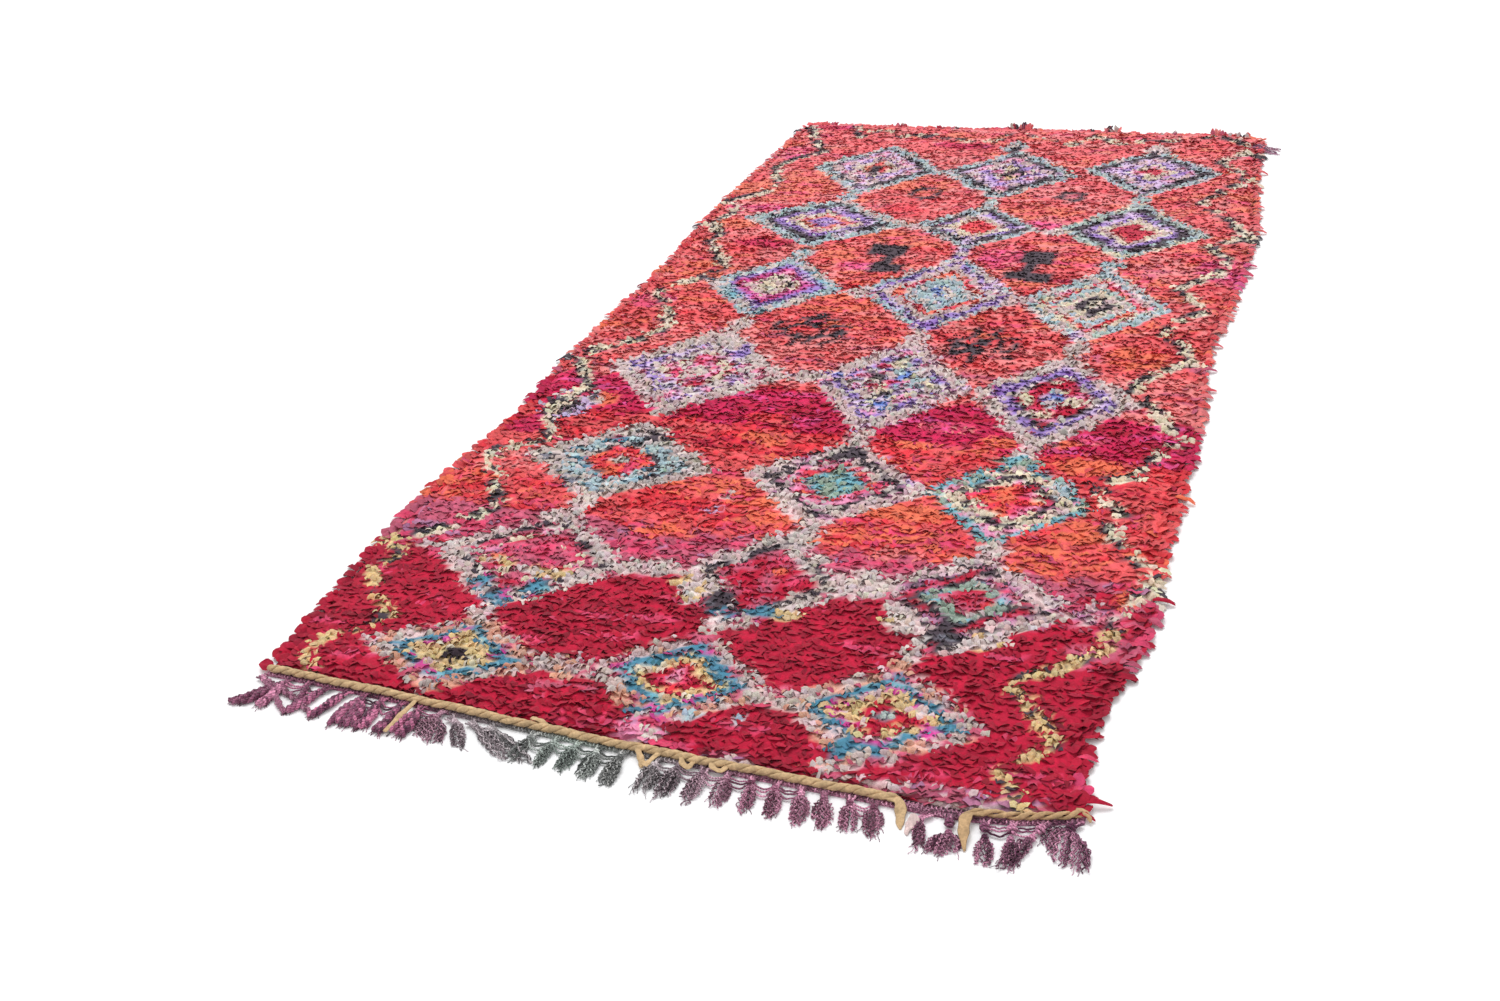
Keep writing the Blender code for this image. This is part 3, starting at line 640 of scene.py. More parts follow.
FAR_LINE = (
    (0.180, 2.900),
    (0.215, 2.815),
    (0.285, 2.890),
    (0.340, 2.820),
    (0.460, 2.835),
    (0.530, 2.800),
    (0.640, 2.805),
    (0.685, 2.880),
    (0.790, 2.840),
    (0.870, 2.790),
    (0.930, 2.870),
    (1.030, 2.800),
    (1.080, 2.860),
    (1.150, 2.840),
    (1.280, 2.900),
    (1.340, 2.860),
)

# Charcoal figures in the red between the diamonds, as boxes with a share of charcoal knots
# Columns: left, right, low, high, share
FIGURE_ROWS = (
    (0.500, 0.605, 1.905, 1.970, 1.0),
    (0.548, 0.590, 1.845, 1.910, 1.0),
    (0.530, 0.622, 1.785, 1.850, 1.0),
    (0.900, 0.982, 1.905, 1.980, 1.0),
    (0.918, 0.958, 1.840, 1.910, 1.0),
    (0.878, 0.998, 1.795, 1.845, 1.0),
    (0.410, 0.600, 1.400, 1.475, 0.56),
    (0.460, 0.560, 1.475, 1.510, 0.62),
    (0.500, 0.530, 1.500, 1.530, 0.90),
    (0.470, 0.600, 1.340, 1.400, 0.30),
    (0.836, 1.004, 1.370, 1.475, 0.60),
    (0.880, 0.960, 1.475, 1.520, 0.62),
    (0.860, 0.940, 1.335, 1.370, 0.30),
)
# Columns: across, along, radius, share
LOOP_ROWS = (
    (0.545, 2.345, 0.038, 0.85),
    (0.945, 2.372, 0.032, 0.85),
)
LOOP_HALF_WIDTH = 0.011

# Single knots and rags that stand out by their colour
# Columns: across, along, tone
LONE_ROWS = (
    (0.845, 0.052, "light_teal"),
    (0.770, 0.045, "light_teal"),
    (0.575, 0.635, "lilac"),
    (0.590, 0.690, "pale_beige"),
    (0.770, 0.468, "orange"),
    (0.230, 0.395, "orange"),
    (1.372, 0.495, "orange"),
    (1.370, 0.520, "orange"),
    (1.150, 0.445, "red"),
    (0.040, 0.590, "orange"),
)
LONE_RADIUS = 0.012
FLECK_START = 1.45
FLECK_SHARE = 0.035


def column(rows, columns, name):
    """One named column of a table."""
    place = columns.index(name)
    return [row[place] for row in rows]


def linear_tone(screen):
    """A screen tone from 0 to 255 as the linear values that a shader takes."""
    values = np.asarray(screen, float) / 255
    low = values / 12.92
    high = ((values + 0.055) / 1.055) ** 2.4
    return np.where(values <= 0.04045, low, high)


TONES = {name: linear_tone(screen) for name, screen in PALETTE.items()}


def ease(value):
    """Zero to one with a level start and end."""
    value = np.clip(value, 0.0, 1.0)
    return value * value * (3 - 2 * value)


def node_tree(node):
    """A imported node's surface, ready for rays."""
    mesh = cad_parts[node].data
    points = [vert.co for vert in mesh.vertices]
    faces = [tuple(polygon.vertices) for polygon in mesh.polygons]
    return BVHTree.FromPolygons(points, faces)


PILE_TREE = node_tree("rug_pile")
WALL_RAY_HEIGHT = 0.0095
RAY_START = 2.0
EDGE_STEP = 0.010
SIDE_RANGE = (-1.50, 1.501)
END_RANGE = (-0.72, 0.721)
LEAST_SIDE = 0.6
LEAST_END = 1.3
MISSED_TOP = 0.012


def wall_line(origin_of, direction, places):
    """Where level rays meet the slab's wall, or None where they miss it."""
    reached = []
    for place in places:
        hit = PILE_TREE.ray_cast(Vector(origin_of(place)), Vector(direction))[0]
        reached.append(hit)
    return reached


def read_side(sign):
    """The left (-1) or right (1) edge: x at each y, read from the slab."""
    places = np.arange(*SIDE_RANGE, EDGE_STEP)
    hits = wall_line(lambda y: (sign * RAY_START, y, WALL_RAY_HEIGHT), (-sign, 0, 0), places)
    pairs = [(y, hit.x) for y, hit in zip(places, hits) if hit is not None and abs(hit.x) > LEAST_SIDE]
    return np.array(pairs)


def read_end(sign):
    """The near (-1) or far (1) edge: y at each x, read from the slab."""
    places = np.arange(*END_RANGE, EDGE_STEP)
    hits = wall_line(lambda x: (x, sign * RAY_START, WALL_RAY_HEIGHT), (0, -sign, 0), places)
    pairs = [(x, hit.y) for x, hit in zip(places, hits) if hit is not None and abs(hit.y) > LEAST_END]
    return np.array(pairs)


LEFT_EDGE = read_side(-1)
RIGHT_EDGE = read_side(1)
NEAR_EDGE = read_end(-1)
FAR_EDGE = read_end(1)


def read_edge(edge, place):
    """An edge's position at a place along it."""
    return np.interp(place, edge[:, 0], edge[:, 1])


def spread(share_x, share_y):
    """Shares of the rug's width and length as a place in its uneven outline."""
    x = (share_x - 0.5) * RUG_WIDTH
    y = (share_y - 0.5) * RUG_LENGTH
    for _ in range(3):
        left = read_edge(LEFT_EDGE, y)
        right = read_edge(RIGHT_EDGE, y)
        near = read_edge(NEAR_EDGE, x)
        far = read_edge(FAR_EDGE, x)
        x = left + (right - left) * share_x
        y = near + (far - near) * share_y
    return x, y


def top_height(x, y):
    """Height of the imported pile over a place."""
    hit = PILE_TREE.ray_cast(Vector((x, y, 1.0)), Vector((0, 0, -1)))[0]
    return hit.z if hit is not None else MISSED_TOP


def inside_hole(x, y, margin=0.0):
    """Whether a place lies in the worn hole."""
    off_x = (x + RUG_WIDTH / 2 - HOLE_ACROSS) / (HOLE_HALF_ACROSS + margin)
    off_y = (y + RUG_LENGTH / 2 - HOLE_ALONG) / (HOLE_HALF_ALONG + margin)
    return off_x * off_x + off_y * off_y < 1.0


def wobble(across, along):
    """A smooth uneven value from -1 to 1 that roughens the edges of zones."""
    first = math.sin(across * 61 + 3 * math.sin(along * 23))
    second = math.sin(along * 71 + 3 * math.sin(across * 29 + 1))
    return 0.5 * (first + second)


def diamond_distance(row, across, along):
    """Zero at a diamond's centre and one on its outline."""
    centre_x, centre_y, half_width, half_down, half_up, _ = row
    half_length = half_up if along > centre_y else half_down
    return abs(across - centre_x) / half_width + abs(along - centre_y) / half_length


def line_offset(line, across, along):
    """The signed distance from a broken line, positive on its right."""
    best = 1.0
    for (x0, y0), (x1, y1) in zip(line, line[1:]):
        run_x, run_y = x1 - x0, y1 - y0
        length = math.hypot(run_x, run_y)
        share = ((across - x0) * run_x + (along - y0) * run_y) / (length * length)
        share = min(max(share, 0.0), 1.0)
        off_x = across - x0 - run_x * share
        off_y = along - y0 - run_y * share
        distance = math.hypot(off_x, off_y)
        if distance < abs(best):
            side = 1 if off_x > 0 else -1
            best = distance * side
    return best


ROW_PITCH = RUG_LENGTH / KNOT_ROWS
RUN_LENGTH = 0.085
RUN_SHARE = 0.74


def scatter(value):
    """A fixed value from 0 to 1 that looks random."""
    return (math.sin(value) * 43758.5453) % 1.0


def run_value(across, along, seed=0.0):
    """A value from 0 to 1 that stays the same along a stretch of one row of knots."""
    row = math.floor(along / ROW_PITCH)
    stretch = math.floor(across / RUN_LENGTH + 7 * scatter(row * 12.9898 + seed))
    return scatter(row * 78.233 + stretch * 37.719 + seed)


BLOB_WIDTH = 0.026
BLOB_LENGTH = 0.025
BLOB_SHARE = 0.72
DASH_WIDTH = 0.015
DASH_LENGTH = 0.017


def blob_value(across, along):
    """A value from 0 to 1 that stays the same over one chunk of a motif."""
    row = math.floor(along / BLOB_LENGTH)
    chunk = math.floor(across / BLOB_WIDTH + 0.5 * (row % 2))
    return scatter(row * 45.164 + chunk * 94.673)


def dash_value(across, along):
    """A value from 0 to 1 that stays the same over one short dash of a figure."""
    return scatter(math.floor(along / DASH_LENGTH) * 31.416 + math.floor(across / DASH_WIDTH) * 57.721)


def pick_blob(mix, across, along, chance):
    """One tone from a mix, mostly the same over each chunk of a motif."""
    value = blob_value(across, along) if chance.random() < BLOB_SHARE else None
    return pick(mix, chance, value)


def pick(mix, chance, value=None):
    """One tone from a mix."""
    value = chance.random() if value is None else value
    for name, share in MIXES[mix]:
        value -= share
        if value <= 0:
            return name
    return MIXES[mix][0][0]


NEAR_DARK_SHARE = 0.50
FAR_LINE_BREAK = 0.30
FAR_DARK_SHARE = 0.55


def line_tone(across, along, chance):
    """The tone of a knot on one of the broken lines, or None."""
    for line in (LEFT_LINE, RIGHT_LINE):
        offset = line_offset(line, across, along)
        half_width = LINE_HALF_WIDTH if along > NEAR_LINE_END else NEAR_LINE_HALF_WIDTH
        if abs(offset) > half_width or blob_value(across + along, along) < LINE_BREAK:
            continue
        dark = (offset < LINE_PALE_START) == (blob_value(along, across) < LINE_SIDE_SHARE)
        if dark:
            near_dark = blob_value(across, along) < NEAR_DARK_SHARE
            return "charcoal" if along > NEAR_LINE_END or near_dark else "yellow"
        return "cream" if along > NEAR_LINE_END else "yellow"
    offset = line_offset(FAR_LINE, across, along)
    if abs(offset) < LINE_HALF_WIDTH and blob_value(across, along) > FAR_LINE_BREAK:
        if blob_value(along, across) < FAR_DARK_SHARE:
            return "charcoal"
        return chance.choice(("cream", "cream", "orange"))
    return None


def figure_tone(across, along, chance):
    """Charcoal where a knot belongs to a figure, or None."""
    for left, right, low, high, share in FIGURE_ROWS:
        if left < across < right and low < along < high and dash_value(across, along) < share:
            return "charcoal"
    for centre_x, centre_y, radius, share in LOOP_ROWS:
        distance = math.hypot(across - centre_x, along - centre_y)
        if abs(distance - radius) < LOOP_HALF_WIDTH and chance.random() < share:
            return "charcoal"
    return None


BAND_WOBBLE = 0.018
PATCH_WOBBLE = 0.35


def field_mix(across, along, rough):
    """The mix of the red field at a place."""
    level = along + BAND_WOBBLE * rough
    mix = [name for start, name in FIELD_ROWS if level >= start][-1]
    for centre_x, centre_y, half_x, half_y, name in PATCH_ROWS:
        off_x = (across - centre_x) / half_x
        off_y = (along - centre_y) / half_y
        if off_x * off_x + off_y * off_y < 1.0 + PATCH_WOBBLE * rough:
            mix = name
    return mix


RING_WOBBLE = 0.04
RING_JITTER = 0.03


def chart(across, along, chance):
    """The tone of the rag at a place on the rug, and whether it is in the plain field."""
    for centre_x, centre_y, tone in LONE_ROWS:
        if math.hypot(across - centre_x, along - centre_y) < LONE_RADIUS:
            return tone, False
    rough = wobble(across, along)
    nudge = RING_WOBBLE * rough + chance.uniform(-RING_JITTER, RING_JITTER)
    for row in ACCENT_ROWS:
        if diamond_distance(row, across, along) + nudge < 1.0:
            return pick_blob(row[ACCENT_COLUMNS.index("mix")], across, along, chance), False
    nearest = min(DIAMOND_ROWS, key=lambda row: diamond_distance(row, across, along))
    distance = diamond_distance(nearest, across, along) + nudge
    for outer, mix in RINGS[nearest[DIAMOND_COLUMNS.index("rings")]]:
        if distance < outer:
            return pick_blob(mix, across, along, chance), False
    tone = figure_tone(across, along, chance) or line_tone(across, along, chance)
    if tone:
        return tone, False
    if along > FLECK_START and chance.random() < FLECK_SHARE:
        return "deep_crimson", False
    value = run_value(across, along) if chance.random() < RUN_SHARE else None
    return pick(field_mix(across, along, rough), chance, value), True


class Batch:
    """Points, faces and paint gathered for one joined mesh."""

    def __init__(self):
        self.points = []
        self.corners = []
        self.sizes = []
        self.paint = []
        self.turns = []
        self.cells = []
        self.count = 0

    def add(self, points, faces, paint, turns, cells=None):
        """Adds points (n, 3), faces (m, k), paint (n, 4) and one turn value pair for each corner."""
        faces = np.asarray(faces)
        self.points.append(np.asarray(points, np.float32))
        self.corners.append((faces + self.count).ravel())
        self.sizes.append(np.full(len(faces), faces.shape[1]))
        self.paint.append(np.asarray(paint, np.float32))
        self.turns.append(np.asarray(turns, np.float32).reshape(-1, 2))
        if cells is not None:
            self.cells.append(np.asarray(cells, np.float32).reshape(-1, 2))
        self.count += len(points)

    def build(self, name, material):
        """Makes the mesh object."""
        mesh = bpy.data.meshes.new(name)
        points = np.concatenate(self.points)
        corners = np.concatenate(self.corners).astype(np.int32)
        sizes = np.concatenate(self.sizes)
        starts = np.concatenate(([0], np.cumsum(sizes)[:-1])).astype(np.int32)
        mesh.vertices.add(len(points))
        mesh.vertices.foreach_set("co", points.ravel())
        mesh.loops.add(len(corners))
        mesh.loops.foreach_set("vertex_index", corners)
        mesh.polygons.add(len(sizes))
        mesh.polygons.foreach_set("loop_start", starts)
        mesh.polygons.foreach_set("use_smooth", np.ones(len(sizes), bool))
        if self.cells:
            cells = mesh.uv_layers.new(name="OFBake")
            cells.uv.foreach_set("vector", np.concatenate(self.cells).ravel())
        turns = mesh.attributes.new("turns", "FLOAT2", "CORNER")
        turns.data.foreach_set("vector", np.concatenate(self.turns).ravel())
        paint = mesh.attributes.new("paint", "FLOAT_COLOR", "POINT")
        paint.data.foreach_set("color", np.concatenate(self.paint).ravel())
        mesh.update(calc_edges=True)
        mesh.validate()
        mesh.materials.append(material)
        piece = bpy.data.objects.new(name, mesh)
        bpy.context.scene.collection.objects.link(piece)
        return piece


def grid_faces(rows, columns):
    """The four-cornered faces of a grid of points stored row by row."""
    first = np.arange(rows - 1)[:, None] * columns + np.arange(columns - 1)[None, :]
    first = first.ravel()
    return np.stack([first, first + 1, first + columns + 1, first + columns], axis=1)


def leaning_path(rows, start, end, power):
    """A path that leaves the ground near upright and bends over: forward and up at each row."""
    shares = np.linspace(0, 1, rows)
    angles = start + (end - start) * shares**power
    middles = 0.5 * (angles[1:] + angles[:-1])
    forward = np.concatenate(([0], np.cumsum(np.sin(middles)))) / (rows - 1)
    up = np.concatenate(([0], np.cumsum(np.cos(middles)))) / (rows - 1)
    return shares, angles, forward, up


def normalised(points):
    """Scales a template to one unit of width, reach and height."""
    points = points.copy()
    points[..., 0] /= np.ptp(points[..., 0])
    points[..., 1] /= max(-points[..., 1].min(), 1e-6)
    points[..., 2] /= points[..., 2].max()
    points[..., 2] = np.maximum(points[..., 2], -0.02)
    return points


def rag_template(chance, rows, columns):
    """One gathered rag petal with a rounded end, leaning along -Y from its root."""
    start = chance.uniform(0.05, 0.45)
    end = chance.uniform(1.20, 1.75)
    path = leaning_path(40, start, end, chance.uniform(0.8, 1.3))
    shares = np.linspace(0, 1, rows)
    sides = np.linspace(-1, 1, columns)
    reached = shares[:, None] * (1 - 0.30 * np.abs(sides)[None, :] ** 2.2)
    angles, forward, up = (np.interp(reached, path[0], values) for values in path[1:])
    half = 0.40 + 0.66 * np.sin(np.pi * (0.06 + 0.62 * shares))
    folds = chance.uniform(0.8, 1.9)
    phase = chance.uniform(0, 2 * np.pi)
    gather = 0.10 * np.sin(np.pi * folds * sides[None, :] + phase) * ease(shares * 1.6)[:, None]
    crumple = np.array([[chance.gauss(0, 0.05) for _ in sides] for _ in shares])
    cup = chance.uniform(-0.10, 0.22) * sides[None, :] ** 2 * shares[:, None]
    tilt = chance.uniform(-0.10, 0.10) * sides[None, :] * shares[:, None]
    offset = gather + crumple * ease(shares * 2)[:, None] - cup + tilt
    sway = chance.uniform(-0.14, 0.14) * shares[:, None] ** 2
    x = sides[None, :] * half[:, None] + sway
    y = -(forward - np.cos(angles) * offset)
    z = up + np.sin(angles) * offset
    return normalised(np.stack([x, y, z], axis=-1).reshape(-1, 3)), shares, sides


def curl_template(chance, rows, columns):
    """One plump rolled curl of wool that leans along -Y from its root."""
    start = chance.uniform(-0.1, 0.5)
    end = chance.uniform(1.9, 2.9)
    shares, angles, forward, up = leaning_path(rows, start, end, chance.uniform(0.8, 1.3))
    sides = np.linspace(-1, 1, columns)
    twist = chance.uniform(-0.5, 0.5) + chance.uniform(-1.4, 1.4) * shares
    sway = chance.uniform(-0.4, 0.4) * np.sin(chance.uniform(2, 5) * shares) * shares
    half = 0.40 + 0.55 * np.sin(np.pi * (0.1 + 0.8 * shares))
    width = 0.5 * half[:, None] * sides[None, :]
    bulge = 0.15 * (1 - sides[None, :] ** 2) * ease(shares * 3)[:, None]
    x = sway[:, None] + np.cos(twist)[:, None] * width
    offset = np.sin(twist)[:, None] * width * 0.8 + bulge
    y = -(forward[:, None] - np.cos(angles)[:, None] * offset)
    z = up[:, None] + np.sin(angles)[:, None] * offset
    return normalised(np.stack([x, y, z], axis=-1).reshape(-1, 3)), shares, sides


def lock_template(chance, rows, columns):
    """One longer rag that leaves the rim, arches over and droops towards the floor."""
    shares = np.linspace(0, 1, rows)
    sides = np.linspace(-1, 1, columns)
    half = 0.6 + 0.5 * np.sin(np.pi * shares)
    crumple = np.array([[chance.gauss(0, 1) for _ in sides] for _ in shares])
    arch = 4 * (0.18 + 0.82 * shares) * (1 - 0.92 * shares)
    sway = chance.uniform(-0.5, 0.5) * shares**2
    cup = chance.uniform(-0.2, 0.35)
    x = sway[:, None] + sides[None, :] * half[:, None] * (1 + 0.12 * crumple)
    y = -shares[:, None] + 0.04 * crumple * shares[:, None]
    z = arch[:, None] + 0.16 * crumple * ease(shares * 2)[:, None] - cup * sides[None, :] ** 2
    points = np.stack([x, np.broadcast_to(y, x.shape), z], axis=-1).reshape(-1, 3)
    points[:, 2] -= min(points[:, 2].min(), 0.0)
    return normalised(points), shares, sides


class Petals:
    """A kind of petal: its templates, and where each petal of that kind stands."""

    def __init__(self, maker, rows, columns, seed):
        chance = random.Random(seed)
        made = [maker(chance, rows, columns) for _ in range(TEMPLATE_COUNT)]
        self.templates = np.stack([points for points, _, _ in made])
        self.shares = np.repeat(made[0][1], columns)
        self.sides = np.tile(made[0][2], rows)
        self.faces = grid_faces(rows, columns)
        self.rows = []

    def stand(self, place, size, yaw, tone, shade, wool, strip, chance):
        """Notes one petal: its root, its size, the way it leans and its colour."""
        which = chance.randrange(TEMPLATE_COUNT)
        mirror = chance.choice((-1.0, 1.0))
        self.rows.append((*place, *size, yaw, *tone, shade, wool, which, mirror, strip))

    def table(self):
        """Every petal as one array with a row for each."""
        return np.array(self.rows, float)


PETAL_FIELDS = (
    "x",
    "y",
    "z",
    "width",
    "reach",
    "height",
    "yaw",
    "red",
    "green",
    "blue",
    "shade",
    "wool",
    "which",
    "mirror",
    "strip",
)


def field(table, name):
    """One named field of a petal table."""
    return table[:, PETAL_FIELDS.index(name)]


def petal_points(kind, table):
    """The points of many petals at once, as (petals, points, 3)."""
    shape = kind.templates[field(table, "which").astype(int)].copy()
    shape[..., 0] *= (field(table, "width") * field(table, "mirror"))[:, None]
    shape[..., 1] *= field(table, "reach")[:, None]
    shape[..., 2] *= field(table, "height")[:, None]
    cosine = np.cos(field(table, "yaw"))[:, None]
    sine = np.sin(field(table, "yaw"))[:, None]
    x = shape[..., 0] * cosine - shape[..., 1] * sine
    y = shape[..., 0] * sine + shape[..., 1] * cosine
    places = np.stack([x, y, shape[..., 2]], axis=-1)
    return places + table[:, None, 0:3]


# Painted light: each petal's colour is painted up to 15% lighter at its root, fading out over the lower 70%
# of its length, to lift the shade between the petals
ROOT_PAINTED_LIGHT = 1.15
PAINTED_LIGHT_HEIGHT = 0.70
MOST_TONE = 0.85


def petal_paint(kind, table):
    """Each point's tone, with painted light that makes it lighter towards the root against the shade between
    the petals, and the wool share in the fourth value.
    """
    rise = ease(kind.shares / PAINTED_LIGHT_HEIGHT)[None, :]
    painted_root_light = (ROOT_PAINTED_LIGHT + (1 - ROOT_PAINTED_LIGHT) * rise) * field(table, "shade")[:, None]
    red = PETAL_FIELDS.index("red")
    tone = np.minimum(table[:, None, red : red + 3] * painted_root_light[..., None], MOST_TONE)
    wool = np.broadcast_to(field(table, "wool")[:, None, None], (*painted_root_light.shape, 1))
    return np.concatenate([tone, wool], axis=-1)


CELL_MARGIN = 0.10


def petal_cells(kind, first, count, side):
    """A square of its own in the texture for each petal, numbered from the first."""
    index = np.arange(first, first + count)
    corner_x = (index % side) / side
    corner_y = (index // side) / side
    inner = 1 - 2 * CELL_MARGIN
    across = (0.5 + 0.5 * kind.sides) * inner + CELL_MARGIN
    along = kind.shares * inner + CELL_MARGIN
    u = corner_x[:, None] + across[None, :] / side
    v = corner_y[:, None] + along[None, :] / side
    cells = np.stack([u, v], axis=-1)
    return cells[:, kind.faces.ravel(), :]


def add_petals(batch, kind, table, first, side):
    """Adds the petals of one kind to a batch."""
    points = petal_points(kind, table)
    count, size = points.shape[0], points.shape[1]
    faces = (kind.faces[None] + np.arange(count)[:, None, None] * size).reshape(-1, 4)
    turns = np.stack([kind.sides, kind.shares], axis=-1)[kind.faces.ravel()]
    turns = np.broadcast_to(turns, (count, *turns.shape))
    cells = petal_cells(kind, first, count, side)
    paint = petal_paint(kind, table).reshape(-1, 4)
    batch.add(points.reshape(-1, 3), faces, paint, turns, cells)


RIM_LEAN_INSET = 0.030
END_LEAN_INSET = 0.014
FRONT_CLEARANCE = 0.0015
SHADE_JITTER = 0.06
TONE_JITTER = 0.05
ROOT_SPACING = 0.0052
ROOT_SWAY = 0.0022
CURL_SPACING = 0.006
LEAST_REACH = 0.006
RIM_LEAN_TURN = 72
CURL_LEAN_SPREAD = 34
FIELD_LEAN_SPREAD = 25
FINE_LEAN_SPREAD = 14


def lean_yaw(x, y, chance, spread_degrees):
    """The way a petal leans: towards the near end, and outwards at the side rims."""
    left_inset = x - read_edge(LEFT_EDGE, y)
    right_inset = read_edge(RIGHT_EDGE, y) - x
    outward = ease(1 - right_inset / RIM_LEAN_INSET) - ease(1 - left_inset / RIM_LEAN_INSET)
    yaw = math.radians(RIM_LEAN_TURN) * outward + math.radians(chance.gauss(0, spread_degrees))
    far_inset = read_edge(FAR_EDGE, x) - y
    if far_inset < END_LEAN_INSET:
        yaw = math.pi - yaw
    return yaw


# Painted light: over the far part, tones are paled towards a light pink to lift the pile, which shows more
# of its shaded sides there; the root layer rises over the same stretch
FAR_RAMP_START = 1.05
FAR_RAMP_RUN = 1.50
FAR_LIGHT_SHARE = 0.12
FAR_LIGHT_TONE = (0.98, 0.52, 0.60)


def with_far_painted_light(tone, along):
    """Painted light: a tone paled towards a light pink over the rug's far part, to lift the far pile, where
    more of the petals' shaded sides are seen.
    """
    share = FAR_LIGHT_SHARE * ease((along - FAR_RAMP_START) / FAR_RAMP_RUN) * max(tone)
    return [value + (pale - value) * share for value, pale in zip(tone, FAR_LIGHT_TONE)]


def mixed_tone(name, along, chance):
    """A tone with a little change of hue and depth from petal to petal."""
    return [value * (1 + chance.gauss(0, TONE_JITTER)) for value in with_far_painted_light(TONES[name], along)]


def front_reach(x, y, reach, yaw):
    """Shortens a petal that would lean over the near edge and hide the cord."""
    room = y - read_edge(NEAR_EDGE, x) - FRONT_CLEARANCE
    forward = reach * math.cos(yaw)
    if forward > room > 0:
        return max(reach * room / forward, LEAST_REACH)
    return reach


def plant_rag(kinds, place, is_field, tone, shade, height, strip, chance):
    """One rag petal: wide in the plain field, narrow in the figures, narrower past the middle."""
    x, y = place
    far = y + RUG_LENGTH / 2 > FAR_START
    narrowing = FAR_NARROWING if far else 1.0
    width = chance.uniform(*(FIELD_WIDTH if is_field else FINE_WIDTH)) * narrowing
    reach = chance.uniform(*(FIELD_REACH if is_field else FINE_REACH)) * narrowing
    yaw = lean_yaw(x, y, chance, FIELD_LEAN_SPREAD if is_field else FINE_LEAN_SPREAD)
    reach = front_reach(x, y, reach, yaw)
    tall = height * chance.uniform(0.90, 1.04)
    size = (width, reach, tall)
    kind = kinds["far_rags" if far else "rags"]
    colour = mixed_tone(tone, y + RUG_LENGTH / 2, chance)
    kind.stand((x, y, ROOT_HEIGHT), size, yaw, colour, shade, 0.0, strip, chance)


def plant_curls(kinds, place, tone, shade, height, strip, chance):
    """One or two curls of wool."""
    count = 2 if chance.random() < CURL_PAIR_SHARE else 1
    for index in range(count):
        x = place[0] + (index - (count - 1) / 2) * CURL_SPACING
        y = place[1] + chance.gauss(0, ROOT_SWAY)
        width = chance.uniform(*CURL_WIDTH)
        yaw = lean_yaw(x, y, chance, CURL_LEAN_SPREAD)
        reach = front_reach(x, y, chance.uniform(*CURL_REACH), yaw)
        tall = height * chance.uniform(0.86, 1.04)
        colour = mixed_tone(tone, y + RUG_LENGTH / 2, chance)
        size = (width, reach, tall)
        kinds["curls"].stand((x, y, ROOT_HEIGHT), size, yaw, colour, shade, 1.0, strip, chance)


def plant_knot(kinds, x, y, strip, chance):
    """One knot: two or three roots side by side, each with the tone of the chart at its tip."""
    height = top_height(x, y) - ROOT_HEIGHT
    streak = run_value(x + RUG_WIDTH / 2, y + RUG_LENGTH / 2, 5.0)
    knot_shade = chance.gauss(0.92 + 0.16 * streak, SHADE_JITTER)
    far = y + RUG_LENGTH / 2 > FAR_START
    for side in FAR_SIDES if far else (-1, 1):
        place = (x + side * ROOT_SPACING + chance.gauss(0, 0.0012), y + chance.gauss(0, ROOT_SWAY))
        across = place[0] + RUG_WIDTH / 2
        along = place[1] + RUG_LENGTH / 2 - TIP_SHIFT
        tone, is_field = chart(across, along, chance)
        shade = max(knot_shade + chance.gauss(0, 0.06), 0.5)
        if tone in WOOLS:
            if side:
                plant_curls(kinds, place, tone, shade, height, strip, chance)
        elif side < 0 or not is_field or chance.random() > SINGLE_SHARE:
            plant_rag(kinds, place, is_field, tone, shade, height, strip, chance)


def plant_pile(kinds):
    """Every knot of the rug, row by row."""
    chance = random.Random(5)
    for row in range(KNOT_ROWS):
        shift = 0.5 * (row % 2)
        for place in range(KNOT_COLUMNS):
            share_x = (place + 0.25 + shift + chance.gauss(0, KNOT_JITTER) * 0.5) / KNOT_COLUMNS
            share_y = (row + 0.5 + chance.gauss(0, KNOT_JITTER) * 0.5) / KNOT_ROWS
            share_x = min(max(share_x, 0.004), 0.996)
            share_y = min(max(share_y, 0.003), 0.998)
            x, y = spread(share_x, share_y)
            if inside_hole(x, y, 0.006):
                continue
            strip = min(int(share_x * STRIP_PIECES), STRIP_PIECES - 1)
            plant_knot(kinds, x, y, strip, chance)


# Painted light: the root layer's tones are painted about a third lighter, to lift the shade deep between the
# petals
ROOT_LAYER_PAINTED_LIGHT = 1.35
ROOT_RIM = 0.014
ROOT_HOLE_MARGIN = 0.006


